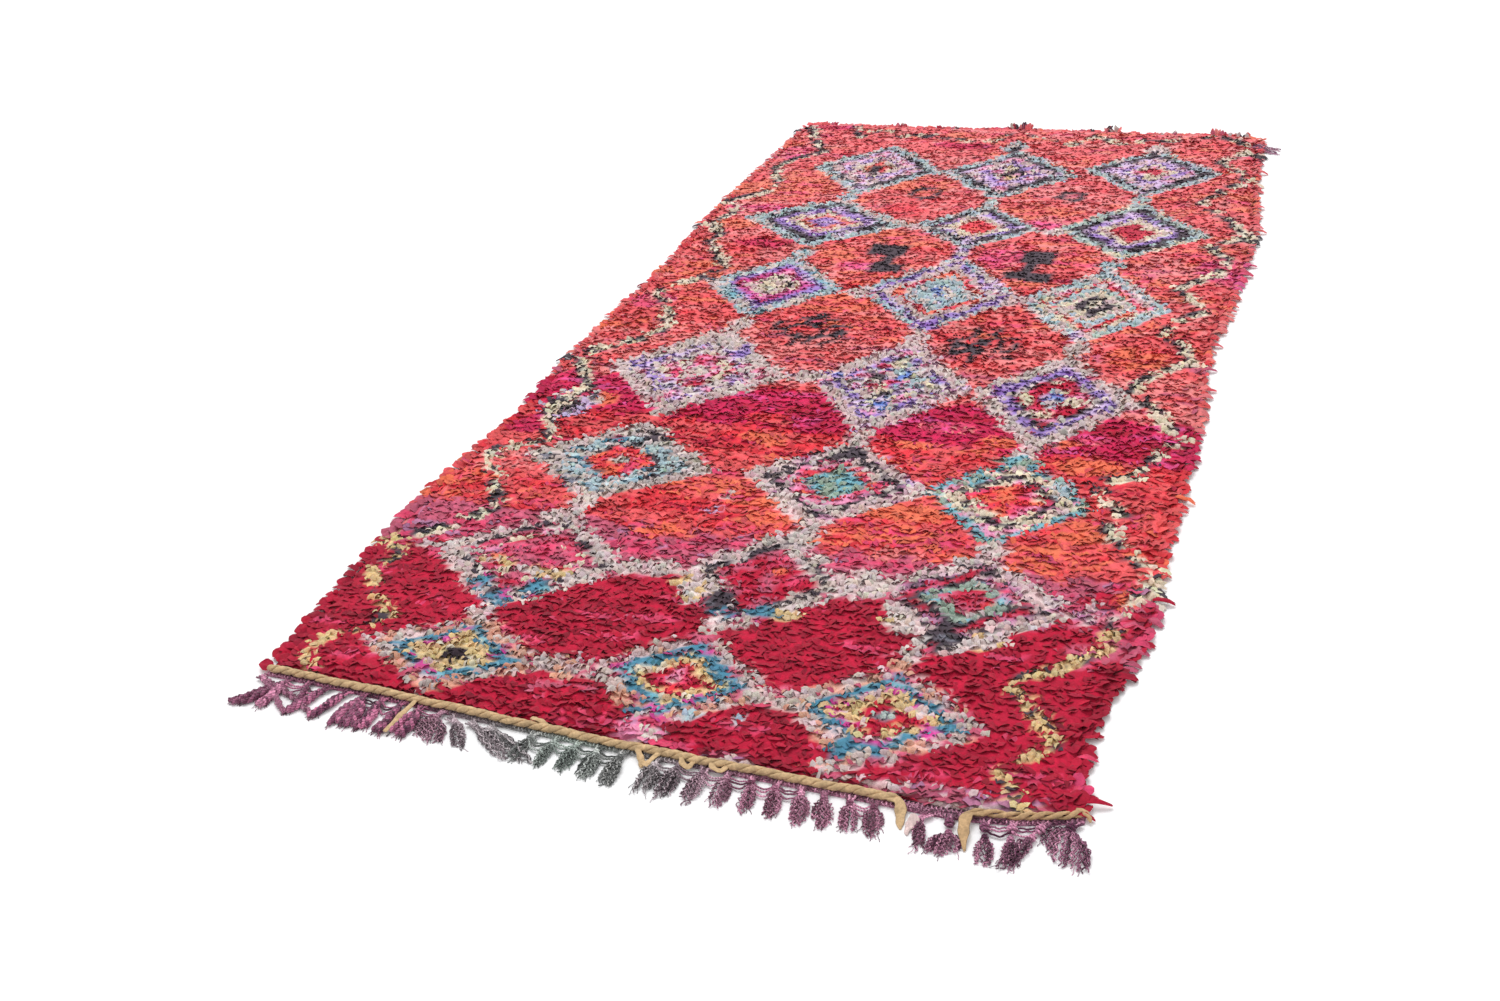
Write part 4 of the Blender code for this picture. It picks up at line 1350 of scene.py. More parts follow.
def build_root_layer(material):
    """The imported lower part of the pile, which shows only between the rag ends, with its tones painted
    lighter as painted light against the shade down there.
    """
    chance = random.Random(17)
    shares_x = np.linspace(0.002, 0.998, ROOT_COLUMNS)
    shares_y = np.linspace(0.001, 0.999, ROOT_ROWS)
    points = []
    paint = []
    kept = []
    for share_y in shares_y:
        for share_x in shares_x:
            x, y = spread(share_x, share_y)
            rim = min(x - read_edge(LEFT_EDGE, y), read_edge(RIGHT_EDGE, y) - x)
            rim = min(rim, y - read_edge(NEAR_EDGE, x), read_edge(FAR_EDGE, x) - y)
            rise = ease(rim / ROOT_RIM) * chance.uniform(0.80, 1.0)
            in_hole = inside_hole(x, y, ROOT_HOLE_MARGIN)
            kept.append(not in_hole)
            if inside_hole(x, y, ROOT_HOLE_MARGIN + 0.010):
                rise = 0.0
            tone, _ = chart(x + RUG_WIDTH / 2, y + RUG_LENGTH / 2 - TIP_SHIFT / 2, chance)
            share = WOOL_ROOT_SHARE if tone in WOOLS else ROOT_SHARE
            share += FAR_ROOT_RISE * ease((y + RUG_LENGTH / 2 - FAR_RAMP_START) / FAR_RAMP_RUN)
            height = GROUND_THICKNESS + (top_height(x, y) * share - GROUND_THICKNESS) * rise
            points.append((x, y, height))
            # Painted light: the tone is raised against the shade between the petals, with a little random
            # change
            shade = ROOT_LAYER_PAINTED_LIGHT * chance.uniform(0.85, 1.1)
            colour = np.array(with_far_painted_light(TONES[tone], y + RUG_LENGTH / 2)) * shade
            paint.append((*np.minimum(colour, MOST_TONE), float(tone in WOOLS)))
    faces = grid_faces(ROOT_ROWS, ROOT_COLUMNS)
    kept = np.array(kept)
    faces = faces[kept[faces].all(axis=1)]
    used = np.unique(faces)
    renumbered = np.zeros(len(points), int)
    renumbered[used] = np.arange(len(used))
    flat = np.array([(x, y) for x, y, _ in points])
    low = flat.min(axis=0)
    cells = (flat - low) / (flat.max(axis=0) - low)
    batch = Batch()
    cells = cells[faces.ravel()]
    points = np.array(points)[used]
    batch.add(points, renumbered[faces], np.array(paint)[used], np.zeros((faces.size, 2)), cells)
    return batch.build("pile_roots", material)


# Longer rags that stick out of the right edge near the corner
# Columns: along, reach, width, tone
LONG_LOCK_ROWS = (
    (-0.012, 0.044, 0.012, "crimson"),
    (0.014, 0.048, 0.011, "crimson"),
    (0.110, 0.034, 0.010, "rose"),
    (0.540, 0.040, 0.012, "crimson"),
    (0.880, 0.044, 0.012, "orange"),
)
LOCK_INSET = 0.004
LOCK_ROOT_HEIGHT = 0.0030
LOCK_HEIGHT = (0.006, 0.011)
LOCK_END_MARGIN = 0.03


def plant_locks(locks):
    """The rag locks that stick out along both side rims."""
    chance = random.Random(11)
    for sign, edge in ((-1, LEFT_EDGE), (1, RIGHT_EDGE)):
        y = -RUG_LENGTH / 2 + LOCK_END_MARGIN
        while y < RUG_LENGTH / 2 - LOCK_END_MARGIN:
            x = read_edge(edge, y) - sign * LOCK_INSET
            across = x + RUG_WIDTH / 2 - sign * 0.012
            tone, _ = chart(across, y + RUG_LENGTH / 2, chance)
            yaw = sign * math.radians(90) + math.radians(chance.gauss(0, 16))
            size = (
                chance.uniform(*LOCK_WIDTH),
                chance.uniform(*LOCK_REACH) * chance.choice((0.6, 0.8, 1.0)),
                chance.uniform(*LOCK_HEIGHT),
            )
            strip = 0 if sign < 0 else STRIP_PIECES - 1
            shade = chance.gauss(0.95, SHADE_JITTER)
            wool = float(tone in WOOLS)
            place = (x, y, LOCK_ROOT_HEIGHT * chance.uniform(0.3, 1.0))
            colour = mixed_tone(tone, y + RUG_LENGTH / 2, chance)
            locks.stand(place, size, yaw, colour, shade, wool, strip, chance)
            y += LOCK_PITCH * chance.uniform(0.6, 1.4)
    for along, reach, width, tone in LONG_LOCK_ROWS:
        y = along - RUG_LENGTH / 2
        place = (read_edge(RIGHT_EDGE, y) - LOCK_INSET, y, LOCK_ROOT_HEIGHT)
        yaw = math.radians(90 + chance.gauss(0, 10))
        size = (width, reach, LOCK_HEIGHT[1])
        locks.stand(place, size, yaw, mixed_tone(tone, along, chance), 1.0, 0.0, STRIP_PIECES - 1, chance)


# Tufts that stand up along the far edge
# Columns: across, half_width, height
TUFT_ROWS = (
    (0.080, 0.030, 0.017),
    (0.300, 0.026, 0.019),
    (0.460, 0.030, 0.017),
    (0.680, 0.016, 0.027),
    (0.712, 0.010, 0.030),
    (0.880, 0.030, 0.017),
    (0.970, 0.014, 0.026),
    (1.120, 0.030, 0.017),
    (1.275, 0.016, 0.029),
    (1.340, 0.026, 0.022),
)
TUFT_TONES = ("crimson", "coral", "dusty_rose", "salmon", "charcoal", "grey_beige")
TUFT_PETALS = 8
TUFT_WIDTH = (0.012, 0.019)
TUFT_REACH = (0.010, 0.020)
TUFT_INSET = (0.004, 0.016)


def plant_far_tufts(rags):
    """The taller rag ends along the far edge."""
    chance = random.Random(13)
    for across, half_width, height in TUFT_ROWS:
        for _ in range(TUFT_PETALS):
            x = across + chance.uniform(-half_width, half_width) - RUG_WIDTH / 2
            y = read_edge(FAR_EDGE, x) - chance.uniform(*TUFT_INSET)
            width = chance.uniform(*TUFT_WIDTH)
            reach = chance.uniform(*TUFT_REACH)
            size = (width, reach, height * chance.uniform(0.6, 1.0))
            strip = int(across / RUG_WIDTH * STRIP_PIECES)
            tone = mixed_tone(chance.choice(TUFT_TONES), RUG_LENGTH, chance)
            yaw = math.radians(180 + chance.gauss(0, 50))
            rags.stand((x, y, ROOT_HEIGHT), size, yaw, tone, 1.0, 0.0, strip, chance)


def build_pile(material):
    """The whole pile as lengthwise strips, each one joined mesh."""
    kinds = {
        "rags": Petals(rag_template, RAG_ROWS, RAG_COLUMNS, 101),
        "far_rags": Petals(rag_template, FAR_ROWS, FAR_COLUMNS, 104),
        "curls": Petals(curl_template, CURL_ROWS, CURL_COLUMNS, 202),
        "locks": Petals(lock_template, RAG_ROWS, RAG_COLUMNS, 303),
    }
    plant_pile(kinds)
    plant_locks(kinds["locks"])
    plant_far_tufts(kinds["rags"])
    tables = [(kind, kind.table()) for kind in kinds.values()]
    pieces = []
    for strip in range(STRIP_PIECES):
        parts = [(kind, table[field(table, "strip") == strip]) for kind, table in tables]
        total = sum(len(table) for _, table in parts)
        side = math.ceil(math.sqrt(total))
        batch = Batch()
        first = 0
        for kind, table in parts:
            if len(table):
                add_petals(batch, kind, table, first, side)
                first += len(table)
        pieces.append(batch.build(f"pile_strip_{strip + 1}", material))
    return pieces


def new_material(name, roughness, sheen):
    """A dry cloth shader with its fixed values on its own sockets."""
    material = bpy.data.materials.new(name)
    material.use_nodes = True
    shader = material.node_tree.nodes["Principled BSDF"]
    shader.inputs["Roughness"].default_value = roughness
    shader.inputs["Sheen Weight"].default_value = sheen
    shader.inputs["Sheen Roughness"].default_value = 0.5
    shader.inputs["Specular IOR Level"].default_value = 0.25
    return material, shader


def add_node(material, kind, **values):
    """A shader node with its properties set by name."""
    node = material.node_tree.nodes.new(kind)
    for name, value in values.items():
        setattr(node, name, value)
    return node


def link(material, start, end):
    """Joins two sockets."""
    material.node_tree.links.new(start, end)


def object_noise(material, scale, detail=2.0, roughness=0.5):
    """A noise that is fixed to the rug's own metres."""
    where = add_node(material, "ShaderNodeTexCoord")
    noise = add_node(material, "ShaderNodeTexNoise")
    noise.inputs["Scale"].default_value = scale
    noise.inputs["Detail"].default_value = detail
    noise.inputs["Roughness"].default_value = roughness
    link(material, where.outputs["Object"], noise.inputs["Vector"])
    return noise


def ramp(material, source, low, high, start, end):
    """Maps a value from one range to another."""
    node = add_node(material, "ShaderNodeMapRange")
    node.inputs["From Min"].default_value = low
    node.inputs["From Max"].default_value = high
    node.inputs["To Min"].default_value = start
    node.inputs["To Max"].default_value = end
    link(material, source, node.inputs["Value"])
    return node.outputs["Result"]


def multiply(material, first, second):
    """The product of two values."""
    node = add_node(material, "ShaderNodeMath", operation="MULTIPLY")
    link(material, first, node.inputs[0])
    link(material, second, node.inputs[1])
    return node.outputs["Value"]


def dimmed(material, colour, value):
    """A colour times a value."""
    node = add_node(material, "ShaderNodeVectorMath", operation="SCALE")
    link(material, colour, node.inputs[0])
    link(material, value, node.inputs["Scale"])
    return node.outputs["Vector"]


def blended(material, share, first, second):
    """A colour between two others."""
    node = add_node(material, "ShaderNodeMix", data_type="RGBA")
    link(material, share, node.inputs["Factor"])
    link(material, first, node.inputs["A"])
    if isinstance(second, tuple):
        node.inputs["B"].default_value = (*second, 1.0)
    else:
        link(material, second, node.inputs["B"])
    return node.outputs["Result"]


def bump(material, shader, height, distance, strength=1.0, under=None):
    """Adds relief of a size in metres, over another relief if there is one."""
    node = add_node(material, "ShaderNodeBump")
    node.inputs["Distance"].default_value = distance
    node.inputs["Strength"].default_value = strength
    link(material, height, node.inputs["Height"])
    if under is not None:
        link(material, under.outputs["Normal"], node.inputs["Normal"])
    link(material, node.outputs["Normal"], shader.inputs["Normal"])
    return node


def painted(material):
    """The colour and the fourth value of a mesh's own paint."""
    node = add_node(material, "ShaderNodeAttribute", attribute_name="paint")
    return node.outputs["Color"], node.outputs["Alpha"]


def pile_material():
    """Crumpled rag and curly wool: patches of paler and deeper tone, specks in the wool, creases with
    painted light and shade, and a fine weave.
    """
    material, shader = new_material("rag_pile_cloth", 0.85, 0.06)
    colour, wool = painted(material)
    fade = object_noise(material, 26, 3)
    fade_value = ramp(material, fade.outputs["Fac"], 0.3, 0.7, 0.88, 1.10)
    crease = object_noise(material, 150, 4, 0.62)
    # Painted light and shade: the crease noise that makes the fold relief also lightens and darkens the
    # colour
    crease_painted_shading = ramp(material, crease.outputs["Fac"], 0.3, 0.7, 0.76, 1.18)
    toned = dimmed(material, colour, multiply(material, fade_value, crease_painted_shading))
    speck = object_noise(material, 620, 2, 0.7)
    light_speck = multiply(material, ramp(material, speck.outputs["Fac"], 0.56, 0.66, 0.0, 0.5), wool)
    pale = blended(material, light_speck, toned, tuple(linear_tone((244, 236, 226))))
    dark = object_noise(material, 480, 2, 0.7)
    dark_speck = multiply(material, ramp(material, dark.outputs["Fac"], 0.60, 0.68, 0.0, 0.55), wool)
    speckled = blended(material, dark_speck, pale, tuple(linear_tone((120, 86, 96))))
    link(material, speckled, shader.inputs["Base Color"])
    folds = bump(material, shader, crease.outputs["Fac"], 0.0022, 0.8)
    weave = object_noise(material, 1500, 1, 0.5)
    bump(material, shader, weave.outputs["Fac"], 0.0003, 0.6, folds)
    return material


def woven_height(material, across_pitch, along_pitch):
    """A plain weave's relief in the rug's own metres."""
    where = add_node(material, "ShaderNodeTexCoord")
    split = add_node(material, "ShaderNodeSeparateXYZ")
    link(material, where.outputs["Object"], split.inputs["Vector"])
    waves = []
    for axis, pitch in (("X", across_pitch), ("Y", along_pitch)):
        turn = add_node(material, "ShaderNodeMath", operation="MULTIPLY")
        turn.inputs[1].default_value = 2 * math.pi / pitch
        link(material, split.outputs[axis], turn.inputs[0])
        wave = add_node(material, "ShaderNodeMath", operation="SINE")
        link(material, turn.outputs["Value"], wave.inputs[0])
        waves.append(wave.outputs["Value"])
    return multiply(material, waves[0], waves[1])


def ground_material():
    """The woven wool ground that shows in the hole and on the underside, with painted shade in the low
    points of its weave.
    """
    material, shader = new_material("ground_wool", 0.9, 0.15)
    rows = woven_height(material, 0.0085, 0.0052)
    tint = object_noise(material, 9, 4, 0.6)
    share = ramp(material, tint.outputs["Fac"], 0.35, 0.65, 0.0, 1.0)
    base = add_node(material, "ShaderNodeRGB")
    base.outputs["Color"].default_value = (*linear_tone((136, 84, 98)), 1.0)
    mixed = blended(material, share, base.outputs["Color"], tuple(linear_tone((98, 82, 92))))
    # Painted shade: the weave's relief darkens the colour in its low points
    depth = ramp(material, rows, -1.0, 1.0, 0.62, 1.10)
    fleck = object_noise(material, 420, 3, 0.7)
    flecked = multiply(material, depth, ramp(material, fleck.outputs["Fac"], 0.3, 0.7, 0.8, 1.25))
    link(material, dimmed(material, mixed, flecked), shader.inputs["Base Color"])
    weave = bump(material, shader, rows, 0.0012, 0.9)
    bump(material, shader, fleck.outputs["Fac"], 0.0006, 0.6, weave)
    return material


def yarn_material(name, ply_turns, contrast):
    """Plied wool: two strands that wind round each other, with flecks of both shades."""
    material, shader = new_material(name, 0.9, 0.25)
    colour, _ = painted(material)
    turns = add_node(material, "ShaderNodeAttribute", attribute_name="turns")
    split = add_node(material, "ShaderNodeSeparateXYZ")
    link(material, turns.outputs["Vector"], split.inputs["Vector"])
    wind = add_node(material, "ShaderNodeMath", operation="MULTIPLY_ADD")
    wind.inputs[1].default_value = ply_turns
    link(material, split.outputs["Y"], wind.inputs[0])
    link(material, split.outputs["X"], wind.inputs[2])
    angle = add_node(material, "ShaderNodeMath", operation="MULTIPLY")
    angle.inputs[1].default_value = 4 * math.pi
    link(material, wind.outputs["Value"], angle.inputs[0])
    wave = add_node(material, "ShaderNodeMath", operation="SINE")
    link(material, angle.outputs["Value"], wave.inputs[0])
    shade = ramp(material, wave.outputs["Value"], -1.0, 1.0, 1 - contrast, 1 + contrast)
    fleck = object_noise(material, 700, 2, 0.7)
    flecked = multiply(material, shade, ramp(material, fleck.outputs["Fac"], 0.32, 0.68, 0.72, 1.35))
    link(material, dimmed(material, colour, flecked), shader.inputs["Base Color"])
    ply = bump(material, shader, wave.outputs["Value"], 0.0006, 0.8)
    bump(material, shader, fleck.outputs["Fac"], 0.0004, 0.7, ply)
    return material


def cord_material(name):
    """Tan cotton strip: lengthwise creases with painted light and shade in them, a fine weave and patchy
    dirt.
    """
    material, shader = new_material(name, 0.85, 0.12)
    colour, _ = painted(material)
    dirt = object_noise(material, 60, 4, 0.65)
    crease = object_noise(material, 260, 3, 0.6)
    value = ramp(material, dirt.outputs["Fac"], 0.3, 0.7, 0.66, 1.18)
    # Painted light and shade: the crease noise that makes the fold relief also darkens and lightens the
    # colour
    crease_painted_shading = ramp(material, crease.outputs["Fac"], 0.3, 0.7, 0.78, 1.14)
    # The cloth's tone with its dirt patches and the painted crease shading
    worn = dimmed(material, colour, multiply(material, value, crease_painted_shading))
    link(material, worn, shader.inputs["Base Color"])
    folds = bump(material, shader, crease.outputs["Fac"], 0.0012, 0.9)
    weave = object_noise(material, 1800, 1, 0.5)
    bump(material, shader, weave.outputs["Fac"], 0.0002, 0.7, folds)
    return material


GROUND_CELLS_ACROSS = 28
GROUND_CELLS_ALONG = 59
GROUND_INSET = 0.002


def build_ground(material):
    """The woven ground: one thin closed sheet with the rug's outline and its worn hole."""
    bm = bmesh.new()
    bmesh.ops.create_grid(bm, x_segments=GROUND_CELLS_ACROSS, y_segments=GROUND_CELLS_ALONG, size=0.5)
    for vert in bm.verts:
        x, y = spread(vert.co.x + 0.5, vert.co.y + 0.5)
        vert.co = Vector((x * (1 - GROUND_INSET / RUG_WIDTH), y, 0.0))
    raised = bmesh.ops.extrude_face_region(bm, geom=bm.faces[:])
    for item in raised["geom"]:
        if isinstance(item, bmesh.types.BMVert):
            item.co.z = GROUND_THICKNESS
    bmesh.ops.recalc_face_normals(bm, faces=bm.faces[:])
    mesh = bpy.data.meshes.new("woven_ground")
    bm.to_mesh(mesh)
    bm.free()
    mesh.materials.append(material)
    ground = bpy.data.objects.new("woven_ground", mesh)
    bpy.context.scene.collection.objects.link(ground)
    cut_hole(ground)
    return ground


def cut_hole(ground):
    """Cuts the worn hole through the ground and applies it."""
    bm = bmesh.new()
    bmesh.ops.create_cone(bm, cap_ends=True, segments=22, radius1=1, radius2=1, depth=0.05)
    for vert in bm.verts:
        angle = math.atan2(vert.co.y, vert.co.x)
        wave = 0.96 + 0.10 * math.sin(5 * angle) + 0.06 * math.sin(9 * angle + 1)
        vert.co.x = HOLE_ACROSS - RUG_WIDTH / 2 + vert.co.x * HOLE_HALF_ACROSS * wave
        vert.co.y = HOLE_ALONG - RUG_LENGTH / 2 + vert.co.y * HOLE_HALF_ALONG * wave
    mesh = bpy.data.meshes.new("hole_cutter")
    bm.to_mesh(mesh)
    bm.free()
    cutter = bpy.data.objects.new("hole_cutter", mesh)
    bpy.context.scene.collection.objects.link(cutter)
    cut = ground.modifiers.new("worn_hole", "BOOLEAN")
    cut.operation = "DIFFERENCE"
    cut.solver = "EXACT"
    cut.object = cutter
    shape = ground.evaluated_get(bpy.context.evaluated_depsgraph_get())
    ground.data = bpy.data.meshes.new_from_object(shape)
    ground.modifiers.clear()
    bpy.data.objects.remove(cutter)


def path_frames(path):
    """The direction, side and up vectors at each point of a path."""
    ahead = np.gradient(path, axis=0)
    ahead /= np.maximum(np.linalg.norm(ahead, axis=1), 1e-9)[:, None]
    up_guess = np.tile(np.array([0.0, 0.0, 1.0]), (len(path), 1))
    side = np.cross(ahead, up_guess)
    length = np.linalg.norm(side, axis=1)
    side[length < 1e-3] = (1.0, 0.0, 0.0)
    side /= np.maximum(np.linalg.norm(side, axis=1), 1e-9)[:, None]
    up = np.cross(side, ahead)
    return ahead, side, up


def path_lengths(path):
    """The length of a path up to each of its points."""
    steps = np.linalg.norm(np.diff(path, axis=0), axis=1)
    return np.concatenate(([0], np.cumsum(steps)))


def add_tube(batch, path, half_width, half_thick, sides, tone, roll=None, dark=0.0):
    """A closed tube of elliptic section along a path, with its turn values on its corners."""
    path = np.asarray(path, float)
    count = len(path)
    half_width = np.broadcast_to(np.asarray(half_width, float), (count,))
    half_thick = np.broadcast_to(np.asarray(half_thick, float), (count,))
    roll = np.zeros(count) if roll is None else roll
    _, side, up = path_frames(path)
    angle = 2 * np.pi * np.arange(sides) / sides
    local_x = half_width[:, None] * np.cos(angle)[None, :]
    local_y = half_thick[:, None] * np.sin(angle)[None, :]
    turned_x = local_x * np.cos(roll)[:, None] - local_y * np.sin(roll)[:, None]
    turned_y = local_x * np.sin(roll)[:, None] + local_y * np.cos(roll)[:, None]
    rings = path[:, None, :] + turned_x[..., None] * side[:, None, :] + turned_y[..., None] * up[:, None, :]
    points = np.concatenate([rings.reshape(-1, 3), path[:1], path[-1:]])
    ring = np.arange(sides)
    following = (ring + 1) % sides
    rows = np.arange(count - 1)[:, None] * sides
    walls = np.stack([rows + ring, rows + following, rows + sides + following, rows + sides + ring], axis=-1)
    walls = walls.reshape(-1, 4)
    last = (count - 1) * sides
    start_cap = np.stack([following, ring, np.full(sides, count * sides)], axis=-1)
    end_cap = np.stack([last + ring, last + following, np.full(sides, count * sides + 1)], axis=-1)
    lengths = path_lengths(path)
    u = np.stack([ring, ring + 1, ring + 1, ring], axis=-1) / sides
    v = np.stack([lengths[:-1], lengths[:-1], lengths[1:], lengths[1:]], axis=-1)
    wall_turns = np.empty((count - 1, sides, 4, 2))
    wall_turns[..., 0] = u[None]
    wall_turns[..., 1] = v[:, None]
    paint = np.empty((len(points), 4))
    paint[:, :3] = tone
    paint[:, 3] = dark
    batch.add(points, walls, paint, wall_turns)
    caps = np.concatenate([start_cap, end_cap])
    cap_turns = np.zeros((len(caps), 3, 2))
    batch.corners.append((caps + batch.count - len(points)).ravel())
    batch.sizes.append(np.full(len(caps), 3))
    batch.turns.append(cap_turns.reshape(-1, 2).astype(np.float32))


def smooth_path(points, count):
    """A smooth curve through a few points, as count evenly spaced ones."""
    points = np.asarray(points, float)
    ends = np.concatenate([[2 * points[0] - points[1]], points, [2 * points[-1] - points[-2]]])
    curve = []
    for index in range(1, len(ends) - 2):
        before, start, end, after = ends[index - 1 : index + 3]
        for share in np.linspace(0, 1, 12, endpoint=False):
            square, cube = share * share, share**3
            curve.append(
                0.5
                * (
                    2 * start
                    + (end - before) * share
                    + (2 * before - 5 * start + 4 * end - after) * square
                    + (3 * start - before - 3 * end + after) * cube
                )
            )
    curve.append(ends[-2])
    curve = np.array(curve)
    lengths = path_lengths(curve)
    wanted = np.linspace(0, lengths[-1], count)
    return np.stack([np.interp(wanted, lengths, curve[:, axis]) for axis in range(3)], axis=-1)


# The tones of each tassel yarn's light and dark ply
YARNS = {
    "mauve": ((235, 165, 195), (100, 45, 70)),
    "plum": ((205, 120, 155), (60, 20, 45)),
    "grey_mauve": ((215, 190, 200), (75, 55, 65)),
    "grey": ((205, 200, 200), (70, 70, 70)),
    "grey_green": ((205, 220, 210), (75, 85, 80)),
    "dark_mauve": ((230, 160, 190), (75, 25, 55)),
}

# Where each yarn is at its strongest from left to right, with blends in between
FRINGE_COLUMNS = ("across", "yarn")
FRINGE_ROWS = (
    (0.00, "mauve"),
    (0.15, "plum"),
    (0.33, "plum"),
    (0.38, "grey_mauve"),
    (0.50, "grey"),
    (0.60, "grey_green"),
    (0.72, "grey"),
    (0.80, "grey_mauve"),
    (0.90, "mauve"),
    (1.14, "mauve"),
    (1.25, "dark_mauve"),
)


DARK_PLY_POWER = 1.15


def fringe_tone(across, chance):
    """One yarn's tone at a place along the near end."""
    keys = column(FRINGE_ROWS, FRINGE_COLUMNS, "across")
    yarns = np.array([YARNS[name] for name in column(FRINGE_ROWS, FRINGE_COLUMNS, "yarn")], float)
    share = chance.random() ** DARK_PLY_POWER
    tone = []
    for axis in range(3):
        light = np.interp(across, keys, yarns[:, 0, axis])
        dark = np.interp(across, keys, yarns[:, 1, axis])
        tone.append(light + (dark - light) * share)
    return linear_tone(tone)


KNOT_TOP = 0.0089
TIP_TOP = 0.0026
TIP_TOLERANCE = 0.0002
TASSEL_SPACING = 0.016


def tip_offset(tip, tassel):
    """How far a strand's tip lies beside a tassel's own line."""
    reach = tip[:2] - tassel["middle"]
    return abs(reach[0] * tassel["heading"][1] - reach[1] * tassel["heading"][0])


def read_tassels():
    """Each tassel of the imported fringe: its knot's middle, its heading and its strand tips."""
    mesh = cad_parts["near_fringe"].data
    points = np.unique(np.array([tuple(vert.co) for vert in mesh.vertices]).round(6), axis=0)
    knots = points[points[:, 2] > KNOT_TOP]
    knots = knots[np.argsort(knots[:, 0])]
    groups = [[knots[0]]]
    for point in knots[1:]:
        if point[0] - groups[-1][0][0] > TASSEL_SPACING:
            groups.append([])
        groups[-1].append(point)
    tips = points[np.abs(points[:, 2] - TIP_TOP) < TIP_TOLERANCE]
    tassels = []
    for group in groups:
        group = np.array(group)
        order = np.argsort(group[:, 1])
        front = group[order[: len(group) // 2], :2].mean(axis=0)
        back = group[order[len(group) // 2 :], :2].mean(axis=0)
        heading = (front - back) / np.linalg.norm(front - back)
        middle = 0.5 * (front + back)
        tassels.append({"middle": middle, "heading": heading, "tips": []})
    for tip in tips:
        offsets = [tip_offset(tip, tassel) for tassel in tassels]
        tassels[offsets.index(min(offsets))]["tips"].append(tip[:2])
    return tassels


def crimped(path, size, chance, turns):
    """A path with the small waves of wool that has been unpicked."""
    path = np.array(path)
    count = len(path)
    shares = np.linspace(0, 1, count)
    _, side, up = path_frames(path)
    first, second = chance.uniform(0, 6.28), chance.uniform(0, 6.28)
    grow = ease(shares * 3)
    sway = size * grow * np.sin(2 * np.pi * turns * shares + first)
    lift = 0.6 * size * grow * np.sin(2 * np.pi * turns * 1.3 * shares + second)
    return path + side * sway[:, None] + up * lift[:, None]


PLIED_END = 0.35
BALL_START = 1.18
YARN_RADIUS = (0.0010, 0.0015)
BUSH_YARNS = 17
YARN_STEPS = 22
CURL_SIZE = 0.0027
CURL_TURNS = (3.5, 6.0)
BUSH_HEIGHT = 0.0125
BUSH_SPREAD = 0.0100
BUSH_ROUNDNESS = 0.30
BUSH_MOST = 2.2
PLY_RADIUS = 0.0035
PLY_OFFSET = 0.0028
PLY_TURN = 0.020
PLY_STEPS = 16
PLY_FUZZ = 7
STRAY_SHARE = 0.20
KNOT_RADIUS = 0.0046
BALL_RADIUS = 0.0060
KNOT_YARN = 0.0019
KNOT_TURNS = 4.2
KNOT_STEPS = 40
NECK_YARNS = 4
NECK_LENGTH = 0.019
LINK_SHARE = 0.7
LINK_REACH = 0.060
LINK_GAP = (1.11, 1.27)


def add_knot(batch, middle, heading, size, across, chance):
    """A round overhand knot of plied wool, wound about the tassel's neck."""
    shares = np.linspace(0, 1, KNOT_STEPS)
    angle = 2 * np.pi * KNOT_TURNS * shares + chance.uniform(0, 6.28)
    radius = size * np.sin(np.pi * (0.10 + 0.80 * shares))
    along = (shares - 0.5) * size * 1.9 + 0.0016 * np.sin(angle * 0.5 + 1)
    side = np.array([-heading[1], heading[0]])
    path = np.zeros((KNOT_STEPS, 3))
    for axis in range(2):
        path[:, axis] = middle[axis] + heading[axis] * along + side[axis] * radius * 1.1 * np.cos(angle)
    path[:, 2] = size + KNOT_YARN * 0.6 + radius * 0.85 * np.sin(angle)
    yarn = KNOT_YARN * size / KNOT_RADIUS
    add_tube(batch, path, yarn, yarn * 0.9, 5, fringe_tone(across, chance))


def add_neck(batch, tassel, side, across, chance):
    """The warp ends that run from the strip into the knot."""
    middle, heading = tassel["middle"], tassel["heading"]
    for index in range(NECK_YARNS):
        offset = (index - (NECK_YARNS - 1) / 2) * 0.0034
        start = middle - heading * NECK_LENGTH + side * offset * 1.5
        inner = middle - heading * 0.003 + side * offset * 0.6
        points = [
            (*start, STRIP_THICKNESS + 0.0012),
            (*(0.5 * (start + inner)), 0.0066 + 0.0010 * (index % 2)),
            (*inner, 0.0064),
        ]
        path = crimped(smooth_path(points, 7), 0.0008, chance, 1.5)
        path[:, 2] = np.maximum(path[:, 2], PLY_RADIUS)
        add_tube(batch, path, 0.0021, 0.0019, 4, fringe_tone(across, chance))


def add_link(batch, first, second, chance):
    """Warp ends that cross from one tassel's knot to the next one's in a shallow arch."""
    gap = second["middle"] - first["middle"]
    across = first["middle"][0] + RUG_WIDTH / 2 + 0.5 * gap[0]
    beside_flap = LINK_GAP[0] < across < LINK_GAP[1]
    if beside_flap or np.linalg.norm(gap) > LINK_REACH or chance.random() > LINK_SHARE:
        return
    sag = 0.5 * (first["heading"] + second["heading"]) * chance.uniform(0.004, 0.014)
    middle = first["middle"] + 0.5 * gap + sag
    for index in range(3):
        nudge = sag * 0.35 * (index - 1) / max(np.linalg.norm(sag), 1e-6) * 0.012
        points = [
            (*(first["middle"] + nudge), 0.0072),
            (*(middle + nudge * 2), 0.0040 + 0.0022 * (index == 1)),
            (*(second["middle"] + nudge), 0.0072),
        ]
        path = crimped(smooth_path(points, 12), 0.0008, chance, 2.5)
        add_tube(batch, path, 0.0020, 0.0018, 4, fringe_tone(across, chance))


